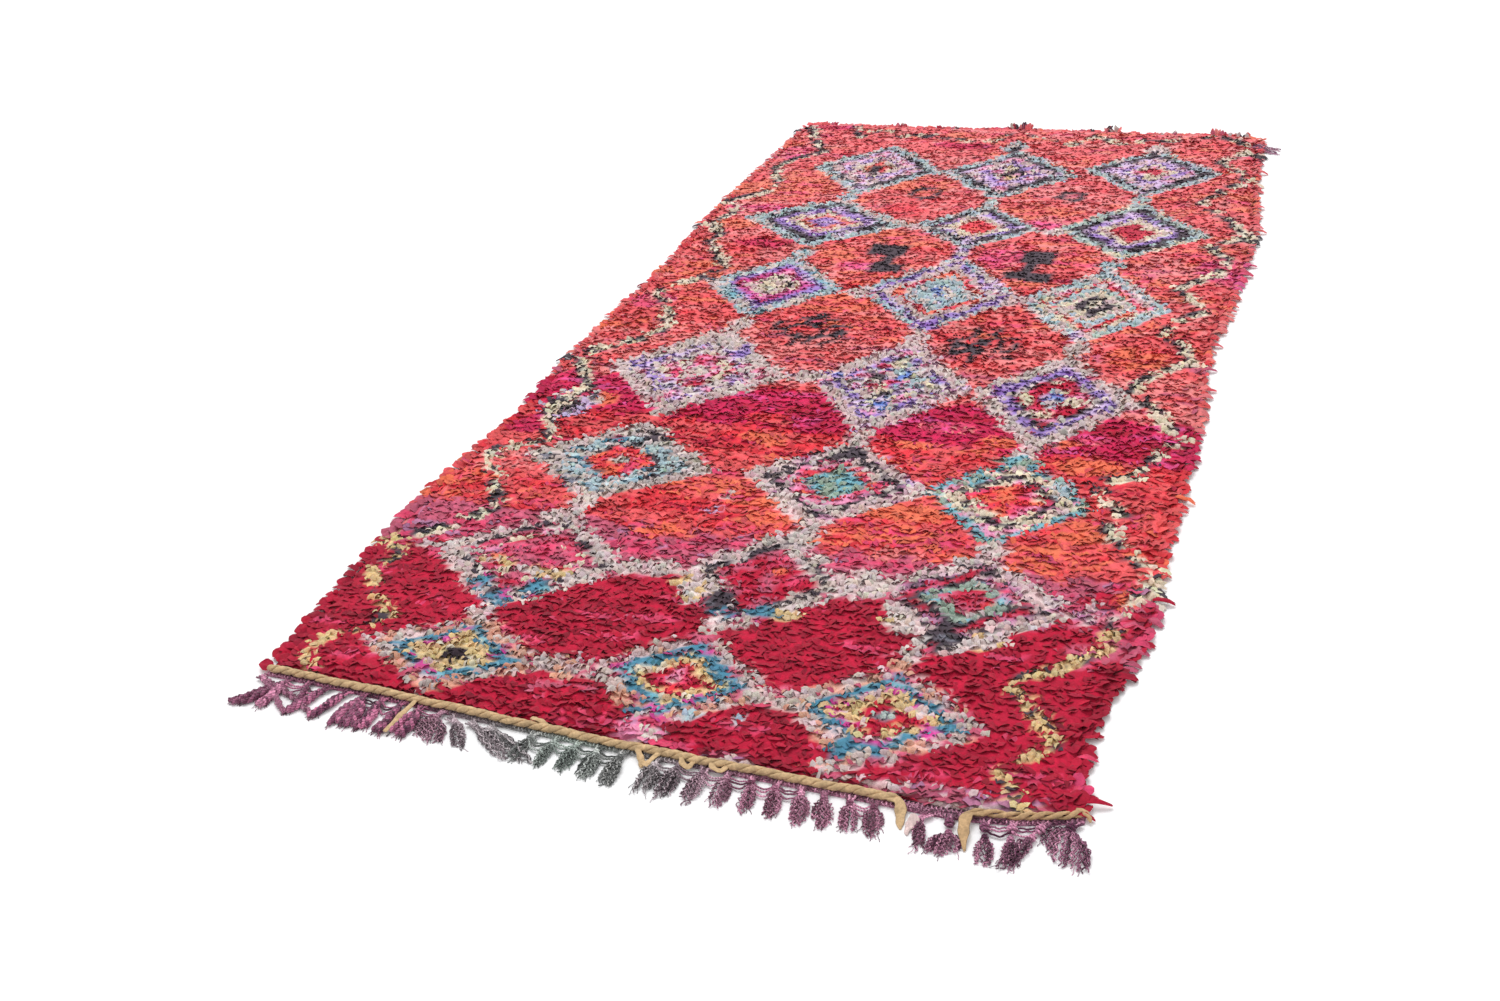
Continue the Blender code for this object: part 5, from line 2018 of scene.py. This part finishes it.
def add_tassel(batch, tassel, chance):
    """One tassel: its neck, its knots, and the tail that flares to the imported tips."""
    middle, heading = tassel["middle"], tassel["heading"]
    side = np.array([-heading[1], heading[0]])
    across = middle[0] + RUG_WIDTH / 2
    add_neck(batch, tassel, side, across, chance)
    size = BALL_RADIUS if across > BALL_START else KNOT_RADIUS
    add_knot(batch, middle, heading, size, across, chance)
    centres = []
    for tip in tassel["tips"] or [middle + heading * 0.06]:
        if not any(np.linalg.norm(tip - other) < 0.0015 for other in centres):
            centres.append(tip)
    root = middle
    if across > BALL_START and chance.random() < 0.6:
        root = middle + heading * 0.020 + side * chance.gauss(0, 0.003)
        add_knot(batch, root, heading, KNOT_RADIUS, across, chance)
    if across < PLIED_END:
        for tip in centres[::2]:
            add_plied_bundle(batch, root, tip, across, side, chance)
        return
    tips = np.array(centres)
    sideways = (tips - middle) @ side
    spread_of_tips = max(BUSH_SPREAD, 0.5 * np.ptp(sideways))
    end = tips.mean(axis=0)
    yarns = int(BUSH_YARNS * min(max(spread_of_tips / BUSH_SPREAD, 1.0), BUSH_MOST))
    for _ in range(yarns):
        add_curly_yarn(batch, root, end, spread_of_tips, across, side, chance)


def add_curly_yarn(batch, root, end, half_spread, across, side, chance):
    """One thin yarn of a bushy tail, with the tight curls of unravelled wool."""
    place = chance.uniform(-1, 1)
    shorter = 1 - BUSH_ROUNDNESS * place * place
    reach = shorter * chance.uniform(0.70, 1.04)
    tip = root + (end - root) * reach + side * half_spread * place * 1.15
    bulge = root + (end - root) * reach * 0.45 + side * half_spread * place * 1.05
    level = 0.0018 + (BUSH_HEIGHT - 0.0018) * chance.random() ** 1.3 * (1 - 0.5 * place * place)
    start = root + side * place * 0.0030
    points = [
        (*start, 0.0068),
        (*(start + (bulge - start) * 0.5), 0.5 * (0.0068 + level)),
        (*bulge, level),
        (*tip, max(level * 0.45, 0.0018)),
    ]
    path = smooth_path(points, YARN_STEPS)
    path = crimped(path, CURL_SIZE, chance, chance.uniform(*CURL_TURNS))
    radius = chance.uniform(*YARN_RADIUS)
    path[:, 2] = np.maximum(path[:, 2], radius + 0.0001)
    add_tube(batch, path, radius, radius * 0.9, 3, fringe_tone(across, chance))
    if chance.random() < STRAY_SHARE:
        add_stray(batch, path[-4], path[-1] - path[-6], across, chance)


def add_plied_bundle(batch, root, tip, across, side, chance):
    """A thick end of two twisted plies with a fuzz of loose yarn that frays at its tip."""
    start = root + side * chance.gauss(0, 0.0020)
    end = root + (tip - root) * chance.uniform(0.82, 1.0) + side * chance.gauss(0, 0.0020)
    bend = start + (end - start) * 0.5 + side * chance.gauss(0, 0.0045)
    points = [(*start, 0.0070), (*bend, 0.0060), (*end, 0.0046)]
    middle = crimped(smooth_path(points, PLY_STEPS), 0.0012, chance, 1.4)
    lengths = path_lengths(middle)
    angle = 2 * np.pi * lengths / PLY_TURN + chance.uniform(0, 6.28)
    _, across_way, up = path_frames(middle)
    swell = 0.80 + 0.40 * np.sin(np.pi * np.linspace(0.05, 0.85, PLY_STEPS))
    for ply in range(2):
        turn = angle + np.pi * ply
        offset = PLY_OFFSET * (np.cos(turn)[:, None] * across_way + np.sin(turn)[:, None] * up)
        path = middle + offset * swell[:, None]
        width = PLY_RADIUS * swell
        path[:, 2] = np.maximum(path[:, 2], width + 0.0001)
        add_tube(batch, path, width, width * 0.9, 5, fringe_tone(across, chance))
    for _ in range(PLY_FUZZ):
        turn = angle * chance.uniform(0.7, 1.0) + chance.uniform(0, 6.28)
        size = 0.0040 * chance.uniform(0.8, 1.15) * swell[:, None]
        path = middle + size * (np.cos(turn)[:, None] * across_way + np.sin(turn)[:, None] * up)
        path[:, 2] = np.maximum(path[:, 2], 0.0010)
        add_tube(batch, path, 0.0009, 0.0008, 3, fringe_tone(across, chance))
    for _ in range(3):
        add_stray(batch, middle[-3], middle[-1] - middle[-5], across, chance)


def add_stray(batch, start, run, across, chance):
    """A thin loose thread near a tassel's end."""
    ahead = np.asarray(run, float)
    ahead = ahead / max(np.linalg.norm(ahead), 1e-6)
    side = np.array([-ahead[1], ahead[0], 0.0])
    bend = chance.gauss(0, 0.004)
    end = start + ahead * chance.uniform(0.010, 0.020) + side * bend
    middle = start + ahead * 0.007 + side * bend * 0.2
    path = crimped(smooth_path([start, middle, end], 7), 0.0006, chance, 2)
    path[:, 2] = np.maximum(np.linspace(start[2], 0.0007, 7), 0.0007)
    add_tube(batch, path, 0.0006, 0.0005, 3, fringe_tone(across, chance))


# Rows of coiled yarn on the woven strip: how far before the pile, and from where to where across
# Columns: ahead, start, end
COIL_ROWS = (
    (0.0150, 0.006, 1.394),
    (0.0040, 1.142, 1.250),
    (0.0095, 1.142, 1.250),
)
COIL_PITCH = 0.0068
COIL_RADIUS = 0.0029
COIL_YARN = 0.0013
COIL_STEPS = 6


def add_coils(batch, row, chance):
    """A row of coils worked over the strip's weft."""
    ahead, start, end = row
    count = int((end - start) / COIL_PITCH * COIL_STEPS)
    xs = np.linspace(start, end, count) - RUG_WIDTH / 2
    angle = 2 * np.pi * np.arange(count) / COIL_STEPS + 0.8 * np.sin(xs * 57) + 0.5 * np.sin(xs * 131)
    size = COIL_RADIUS * (1 + 0.25 * np.sin(xs * 211 + ahead * 900))
    path = np.zeros((count, 3))
    path[:, 0] = xs + 0.0012 * np.sin(angle * 2)
    path[:, 1] = read_edge(NEAR_EDGE, xs) - GAP - ahead + size * np.cos(angle)
    path[:, 2] = STRIP_THICKNESS + 0.0012 + 0.8 * size * np.sin(angle)
    for first in range(0, count - 1, 3 * COIL_STEPS):
        part = path[first : first + 3 * COIL_STEPS + 1]
        if len(part) > 2:
            across = part[0, 0] + RUG_WIDTH / 2
            add_tube(batch, part, COIL_YARN, COIL_YARN * 0.9, 3, fringe_tone(across, chance))


STRIP_DEPTH = 0.0165
STRIP_THICKNESS = 0.004
STRIP_STEP = 0.0030
STRIP_ROWS = 9
STRIP_INSET = 0.001
WEFT_RIDGES = 3
WEFT_RIDGE = 0.0007
WARP_PITCH = 0.0075
STRIP_EDGE_DROP = 0.0014


def build_fringe(material):
    """All the tassels as one joined mesh."""
    chance = random.Random(23)
    batch = Batch()
    tassels = read_tassels()
    for tassel in tassels:
        add_tassel(batch, tassel, chance)
    for first, second in zip(tassels, tassels[1:]):
        add_link(batch, first, second, chance)
    for row in COIL_ROWS:
        add_coils(batch, row, chance)
    return batch.build("tassels", material)


def build_strip(material):
    """The woven strip between the pile and the tassels, with raised weft rows."""
    left = -RUG_WIDTH / 2 + STRIP_INSET
    right = RUG_WIDTH / 2 - STRIP_INSET
    count = int((right - left) / STRIP_STEP)
    xs = np.linspace(left, right, count)
    backs = read_edge(NEAR_EDGE, xs) - GAP
    chance = random.Random(31)
    rows = []
    for row in range(STRIP_ROWS):
        share = row / (STRIP_ROWS - 1)
        ys = backs - share * STRIP_DEPTH
        ridge = WEFT_RIDGE * np.cos(2 * np.pi * share * WEFT_RIDGES) * np.cos(np.pi * xs / WARP_PITCH + row)
        edge = STRIP_EDGE_DROP if row in (0, STRIP_ROWS - 1) else 0
        heights = STRIP_THICKNESS + ridge - edge
        rows.append(np.stack([xs, ys, heights], axis=-1))
    top = np.concatenate(rows)
    back_foot = np.stack([xs, backs, 0 * xs], axis=-1)
    front_foot = np.stack([xs, backs - STRIP_DEPTH, 0 * xs], axis=-1)
    bottom = np.concatenate([back_foot, front_foot])
    top_faces = grid_faces(STRIP_ROWS, count)[:, ::-1]
    base = len(top)
    first = np.arange(count - 1)
    last_row = (STRIP_ROWS - 1) * count
    back = base + first
    front = base + count + first
    lip = last_row + first
    floor = np.stack([back, back + 1, front + 1, front], axis=-1)
    back_wall = np.stack([first, first + 1, back + 1, back], axis=-1)
    front_wall = np.stack([front, front + 1, lip + 1, lip], axis=-1)
    batch = Batch()
    points = np.concatenate([top, bottom])
    paint = np.ones((len(points), 4))
    for index, point in enumerate(points):
        paint[index, :3] = fringe_tone(point[0] + RUG_WIDTH / 2, chance)
    faces = np.concatenate([top_faces, floor, back_wall, front_wall])
    batch.add(points, faces, paint, np.zeros((faces.size, 2)))
    ends = []
    for side in (0, count - 1):
        rim = [row * count + side for row in range(STRIP_ROWS)] + [base + count + side, base + side]
        ends.append(rim if side == 0 else rim[::-1])
    for rim in ends:
        batch.corners.append(np.array(rim))
        batch.sizes.append(np.array([len(rim)]))
        batch.turns.append(np.zeros((len(rim), 2), np.float32))
    return batch.build("woven_strip", material)


CORD_HEIGHT = 0.0109
CORD_COLUMNS = ("name", "start", "end", "turn_length", "strand", "offset", "tone")
CORD_ROWS = (
    ("twisted_cord_long", 0.002, 1.132, 0.046, 0.0055, 0.0032, (206, 174, 132)),
    ("twisted_cord_short", 1.394, 1.240, 0.044, 0.0038, 0.0035, (198, 163, 121)),
)
CORD_STEP = 0.0026
CORD_SIDES = 12
STRAND_FLATNESS = 0.70


def cord_middle(xs):
    """The middle line of a cord: beside the pile and on the strip."""
    ys = read_edge(NEAR_EDGE, xs) - GAP - CORD_HALF_WIDTH
    return np.stack([xs, ys, np.full(len(xs), CORD_HEIGHT)], axis=-1)


def add_cord_strands(batch, cord):
    """Two flattened strips of cloth wound round each other."""
    start = cord["start"] - RUG_WIDTH / 2
    end = cord["end"] - RUG_WIDTH / 2
    count = int(abs(end - start) / CORD_STEP)
    xs = np.linspace(start, end, count)
    middle = cord_middle(xs)
    middle[:, 1] += 0.0010 * np.sin(xs * 37) + 0.0006 * np.sin(xs * 91)
    lengths = np.abs(xs - xs[0])
    uneven = 0.5 * np.sin(lengths * 31) + 0.3 * np.sin(lengths * 83)
    phase = 2 * np.pi * lengths / cord["turn_length"] + uneven
    _, side, up = path_frames(middle)
    for strand in range(2):
        angle = phase + np.pi * strand
        path = middle + cord["offset"] * (np.cos(angle)[:, None] * side + np.sin(angle)[:, None] * up)
        swell = 1 + 0.10 * np.sin(lengths * 240 + strand) + 0.08 * np.sin(lengths * 611 + 2 * strand)
        wide = cord["strand"] * swell
        thin = cord["strand"] * STRAND_FLATNESS * (2 - swell)
        taper = np.clip(np.minimum(np.arange(count), np.arange(count)[::-1]) / 3 + 0.45, 0, 1)
        tone = linear_tone(cord["tone"]) * (0.96 + 0.08 * strand)
        add_tube(batch, path, wide * taper, thin * taper, CORD_SIDES, tone, angle + np.pi / 2)


# Flat ends, tails and tabs of the cords' cloth: points in metres as across, along and height,
# then the half width and the half thickness at each
BAND_COLUMNS = ("across", "along", "height", "half_width", "half_thick")
LONG_FLAP = (
    (1.116, -0.0500, 0.0120, 0.0050, 0.0024),
    (1.131, -0.0505, 0.0125, 0.0072, 0.0016),
    (1.139, -0.0560, 0.0100, 0.0088, 0.0011),
    (1.143, -0.0680, 0.0050, 0.0086, 0.0008),
    (1.146, -0.0820, 0.0022, 0.0078, 0.0008),
    (1.149, -0.0940, 0.0016, 0.0056, 0.0008),
    (1.151, -0.0985, 0.0014, 0.0020, 0.0007),
)
PALE_SCRAP = (
    (1.163, -0.0740, 0.0120, 0.0040, 0.0010),
    (1.166, -0.0820, 0.0090, 0.0090, 0.0010),
    (1.164, -0.0900, 0.0060, 0.0074, 0.0009),
    (1.161, -0.1000, 0.0024, 0.0046, 0.0008),
    (1.163, -0.1080, 0.0016, 0.0016, 0.0007),
)
RAGGED_END = (
    (1.384, -0.0060, 0.0120, 0.0034, 0.0020),
    (1.394, -0.0075, 0.0118, 0.0050, 0.0014),
    (1.401, -0.0110, 0.0100, 0.0056, 0.0011),
    (1.405, -0.0160, 0.0074, 0.0040, 0.0009),
    (1.407, -0.0205, 0.0055, 0.0016, 0.0008),
)
SHORT_FLAP = (
    (1.262, -0.0485, 0.0120, 0.0044, 0.0024),
    (1.247, -0.0495, 0.0130, 0.0066, 0.0016),
    (1.239, -0.0580, 0.0135, 0.0086, 0.0010),
    (1.238, -0.0720, 0.0130, 0.0092, 0.0008),
    (1.241, -0.0900, 0.0110, 0.0080, 0.0008),
    (1.245, -0.1060, 0.0070, 0.0050, 0.0008),
    (1.249, -0.1180, 0.0016, 0.0014, 0.0007),
)
LEFT_TAIL = (
    (0.306, -0.0180, 0.0110, 0.0040, 0.0022),
    (0.306, -0.0260, 0.0124, 0.0050, 0.0018),
    (0.304, -0.0400, 0.0116, 0.0056, 0.0013),
    (0.299, -0.0700, 0.0104, 0.0052, 0.0012),
    (0.294, -0.1040, 0.0080, 0.0042, 0.0011),
)
MIDDLE_TAB_LEFT = (
    (0.712, -0.0400, 0.0130, 0.0040, 0.0020),
    (0.722, -0.0520, 0.0110, 0.0050, 0.0016),
    (0.731, -0.0640, 0.0050, 0.0056, 0.0014),
    (0.736, -0.0700, 0.0026, 0.0062, 0.0014),
)
MIDDLE_TAB_RIGHT = (
    (0.756, -0.0400, 0.0130, 0.0040, 0.0020),
    (0.748, -0.0520, 0.0110, 0.0048, 0.0016),
    (0.740, -0.0640, 0.0056, 0.0054, 0.0014),
    (0.736, -0.0706, 0.0040, 0.0060, 0.0014),
)
SMALL_LOOP = (
    (0.790, -0.0440, 0.0130, 0.0040, 0.0018),
    (0.796, -0.0560, 0.0110, 0.0050, 0.0015),
    (0.806, -0.0580, 0.0080, 0.0052, 0.0015),
    (0.812, -0.0460, 0.0110, 0.0042, 0.0018),
)
SECOND_LOOP = (
    (0.838, -0.0440, 0.0140, 0.0040, 0.0018),
    (0.846, -0.0540, 0.0120, 0.0052, 0.0015),
    (0.858, -0.0550, 0.0090, 0.0054, 0.0015),
    (0.866, -0.0460, 0.0120, 0.0042, 0.0018),
)
LEFT_KINK = (
    (0.520, -0.0200, 0.0150, 0.0040, 0.0020),
    (0.530, -0.0250, 0.0190, 0.0046, 0.0016),
    (0.542, -0.0260, 0.0170, 0.0044, 0.0016),
    (0.552, -0.0300, 0.0130, 0.0040, 0.0020),
)
LONG_BANDS = (
    LONG_FLAP, PALE_SCRAP, LEFT_TAIL, MIDDLE_TAB_LEFT, MIDDLE_TAB_RIGHT,
    SMALL_LOOP, SECOND_LOOP, LEFT_KINK,
)
SHORT_BANDS = (SHORT_FLAP, RAGGED_END)
SCRAP_TONE = (226, 200, 196)
BAND_STEPS = 26
BAND_SIDES = 10


def add_band(batch, rows, tone, chance):
    """A flat strip of the cord's cloth, a little crumpled, through a few rows."""
    place = np.array(rows)[:, :3]
    half_width = column(rows, BAND_COLUMNS, "half_width")
    half_thick = column(rows, BAND_COLUMNS, "half_thick")
    points = place - np.array([RUG_WIDTH / 2, RUG_LENGTH / 2, 0.0])
    path = smooth_path(points, BAND_STEPS)
    shares = np.linspace(0, 1, BAND_STEPS)
    keys = np.linspace(0, 1, len(rows))
    crumple = 1 + 0.10 * np.sin(shares * 19 + chance.uniform(0, 6))
    wide = np.interp(shares, keys, half_width) * crumple
    thick = np.interp(shares, keys, half_thick)
    roll = 0.22 * np.sin(shares * 9 + chance.uniform(0, 6)) * np.sin(np.pi * shares)
    path[:, 2] = np.maximum(path[:, 2], thick + 0.0002)
    add_tube(batch, path, wide, thick, BAND_SIDES, linear_tone(tone), roll)


def build_cord(row, bands, material):
    """One twisted cord with its flat ends and tabs."""
    cord = dict(zip(CORD_COLUMNS, row))
    chance = random.Random(cord["name"])
    batch = Batch()
    add_cord_strands(batch, cord)
    for band in bands:
        add_band(batch, band, SCRAP_TONE if band is PALE_SCRAP else cord["tone"], chance)
    return batch.build(cord["name"], material)


TUFT_YARNS = 16
CORNER_TONES = ((180, 112, 146), (142, 84, 118), (206, 158, 176), (110, 60, 92))
CORNER_SPREAD = 0.034
CORNER_FAN = 0.022
CORNER_DROP = 14


def build_tuft(material):
    """The frayed far right corner: crimped mauve yarns."""
    low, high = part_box("corner_tuft")
    chance = random.Random(37)
    batch = Batch()
    middle_y = (low.y + high.y) / 2 + 0.004
    for index in range(TUFT_YARNS):
        share = index / (TUFT_YARNS - 1)
        start_y = middle_y + (share - 0.5) * CORNER_SPREAD
        reach = (high.x - low.x) * chance.uniform(0.55, 1.0)
        drop = -reach * math.tan(math.radians(CORNER_DROP)) + (share - 0.5) * CORNER_FAN
        points = [
            (low.x - 0.016, start_y + chance.gauss(0, 0.002), 0.013),
            (low.x + 0.004, start_y, 0.009 + 0.002 * (index % 3)),
            (low.x + reach * 0.5, start_y + drop * 0.5 + chance.gauss(0, 0.003), 0.0045),
            (low.x + reach, start_y + drop + chance.gauss(0, 0.004), 0.0020),
        ]
        path = crimped(smooth_path(points, 18), 0.0014, chance, chance.uniform(3, 5))
        radius = chance.uniform(*YARN_RADIUS)
        path[:, 2] = np.maximum(path[:, 2], radius)
        tone = linear_tone(chance.choice(CORNER_TONES))
        add_tube(batch, path, radius, radius * 0.85, 5, tone)
    return batch.build("frayed_corner", material)


# Arcs of bare weave round the hole, and the loose threads that stand at its rim
THREAD_TONES = ("slate", "charcoal", "lilac", "pale_beige", "mauve")
ARC_TONES = ("charcoal", "slate", "charcoal", "grey_beige")
ARC_SHARES = (0.02, 0.52)
ARC_STEPS = 22
ARC_THREAD = 0.0016
LOOSE_THREADS = 22
LOOSE_THREAD = 0.0011
LOOSE_ROOT = (0.026, 0.021)
LOOSE_REACH = (0.012, 0.030)


def build_hole_threads(material):
    """The worn hole's edge: an arc of bare weave, snapped warps and loose rag ends."""
    chance = random.Random(41)
    batch = Batch()
    centre = np.array([HOLE_ACROSS - RUG_WIDTH / 2, HOLE_ALONG - RUG_LENGTH / 2])
    for ring, arc_tone in enumerate(ARC_TONES):
        shares = np.linspace(*ARC_SHARES, ARC_STEPS)
        angle = 2 * np.pi * shares
        grow = 1.06 + 0.13 * ring
        path = np.zeros((ARC_STEPS, 3))
        path[:, 0] = centre[0] + HOLE_HALF_ACROSS * grow * np.cos(angle)
        path[:, 1] = centre[1] + HOLE_HALF_ALONG * grow * np.sin(angle)
        path[:, 2] = 0.0045 + 0.0022 * ring
        path = crimped(path, 0.0006, chance, 6)
        add_tube(batch, path, ARC_THREAD, ARC_THREAD - 0.0001, 6, TONES[arc_tone])
    for index in range(LOOSE_THREADS):
        angle = chance.uniform(0, 2 * np.pi)
        root = centre + np.array([math.cos(angle) * LOOSE_ROOT[0], math.sin(angle) * LOOSE_ROOT[1]])
        lean = np.array([chance.gauss(0.3, 0.7), chance.gauss(0.5, 0.7)])
        reach = chance.uniform(*LOOSE_REACH)
        tip = root + lean * reach
        lift = 0.016 if index % 2 else 0.010
        points = [(*root, 0.006), (*(0.5 * (root + tip)), lift), (*tip, chance.uniform(0.009, 0.020))]
        path = crimped(smooth_path(points, 12), 0.0012, chance, 2.5)
        tone = TONES[chance.choice(THREAD_TONES)]
        add_tube(batch, path, LOOSE_THREAD, LOOSE_THREAD - 0.0001, 5, tone)
    return batch.build("hole_threads", material)


FLOOR_SIZE = 14.0
FLOOR_TONE = (250, 250, 251)


def build_floor():
    """A plain pale floor."""
    bpy.ops.mesh.primitive_plane_add(size=FLOOR_SIZE, location=(0, 0, -0.0002))
    floor = bpy.context.object
    floor.name = "floor"
    material, shader = new_material("pale_floor", 0.9, 0.0)
    shader.inputs["Base Color"].default_value = (*linear_tone(FLOOR_TONE), 1.0)
    shader.inputs["Specular IOR Level"].default_value = 0.0
    floor.data.materials.append(material)
    return floor


WORLD_STRENGTH = 0.90
KEY_STRENGTH = 1.25
KEY_SPREAD = 30
KEY_TILT = 27
KEY_TURN = 215


def build_light():
    """Soft even studio light with one broad key from high up."""
    world = bpy.data.worlds.new("studio")
    world.use_nodes = True
    back = world.node_tree.nodes["Background"]
    back.inputs["Color"].default_value = (1, 1, 1, 1)
    back.inputs["Strength"].default_value = WORLD_STRENGTH
    bpy.context.scene.world = world
    data = bpy.data.lights.new("key", "SUN")
    data.energy = KEY_STRENGTH
    data.angle = math.radians(KEY_SPREAD)
    key = bpy.data.objects.new("key", data)
    key.rotation_euler = Euler((math.radians(KEY_TILT), 0, math.radians(KEY_TURN)))
    bpy.context.scene.collection.objects.link(key)


def build_camera():
    """The camera, at the photograph's angle."""
    data = bpy.data.cameras.new("camera")
    data.lens = CAMERA_LENS
    data.sensor_width = SENSOR_WIDTH
    data.clip_start = 0.05
    data.clip_end = 60
    camera = bpy.data.objects.new("camera", data)
    turn = Euler((0, 0, math.radians(CAMERA_TURN))).to_matrix()
    tilt = Euler((math.radians(CAMERA_TILT), 0, 0)).to_matrix()
    roll = Euler((0, 0, math.radians(CAMERA_ROLL))).to_matrix()
    camera.matrix_world = (turn @ tilt @ roll).to_4x4()
    camera.location = CAMERA_PLACE
    bpy.context.scene.collection.objects.link(camera)
    bpy.context.scene.camera = camera


def finish_piece(piece, slot, *nodes):
    """Rides a piece on the rug's one body and hides the imported parts that it replaces. Its slot is not
    used.
    """
    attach(piece, "root")
    if nodes:
        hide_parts(*nodes)


def build_rug():
    """Builds every piece of the rug and rides each on the rug's one body."""
    pile_cloth = pile_material()
    wool = yarn_material("fringe_wool", 110, 0.30)
    ground = build_ground(ground_material())
    strips = build_pile(pile_cloth)
    strips.append(build_root_layer(pile_cloth))
    tassels = build_fringe(wool)
    woven = build_strip(wool)
    long_cord = build_cord(CORD_ROWS[0], LONG_BANDS, cord_material("cord_cloth"))
    short_cord = build_cord(CORD_ROWS[1], SHORT_BANDS, cord_material("cord_cloth_loose"))
    tuft = build_tuft(wool)
    threads = build_hole_threads(wool)
    finish_piece(ground, "rag_pile", "rug_pile")
    for strip in strips:
        finish_piece(strip, "rag_pile", "rug_pile")
    finish_piece(threads, "rag_pile")
    finish_piece(tassels, "warp_wool", "near_fringe")
    finish_piece(woven, "warp_wool", "near_fringe")
    finish_piece(long_cord, "cord_cloth", "edge_cord_long")
    finish_piece(short_cord, "cord_cloth_loose", "edge_cord_short")
    finish_piece(tuft, "corner_yarn", "corner_tuft")


build_floor()
build_light()
build_camera()
build_rug()
bpy.context.scene.view_settings.view_transform = "Standard"
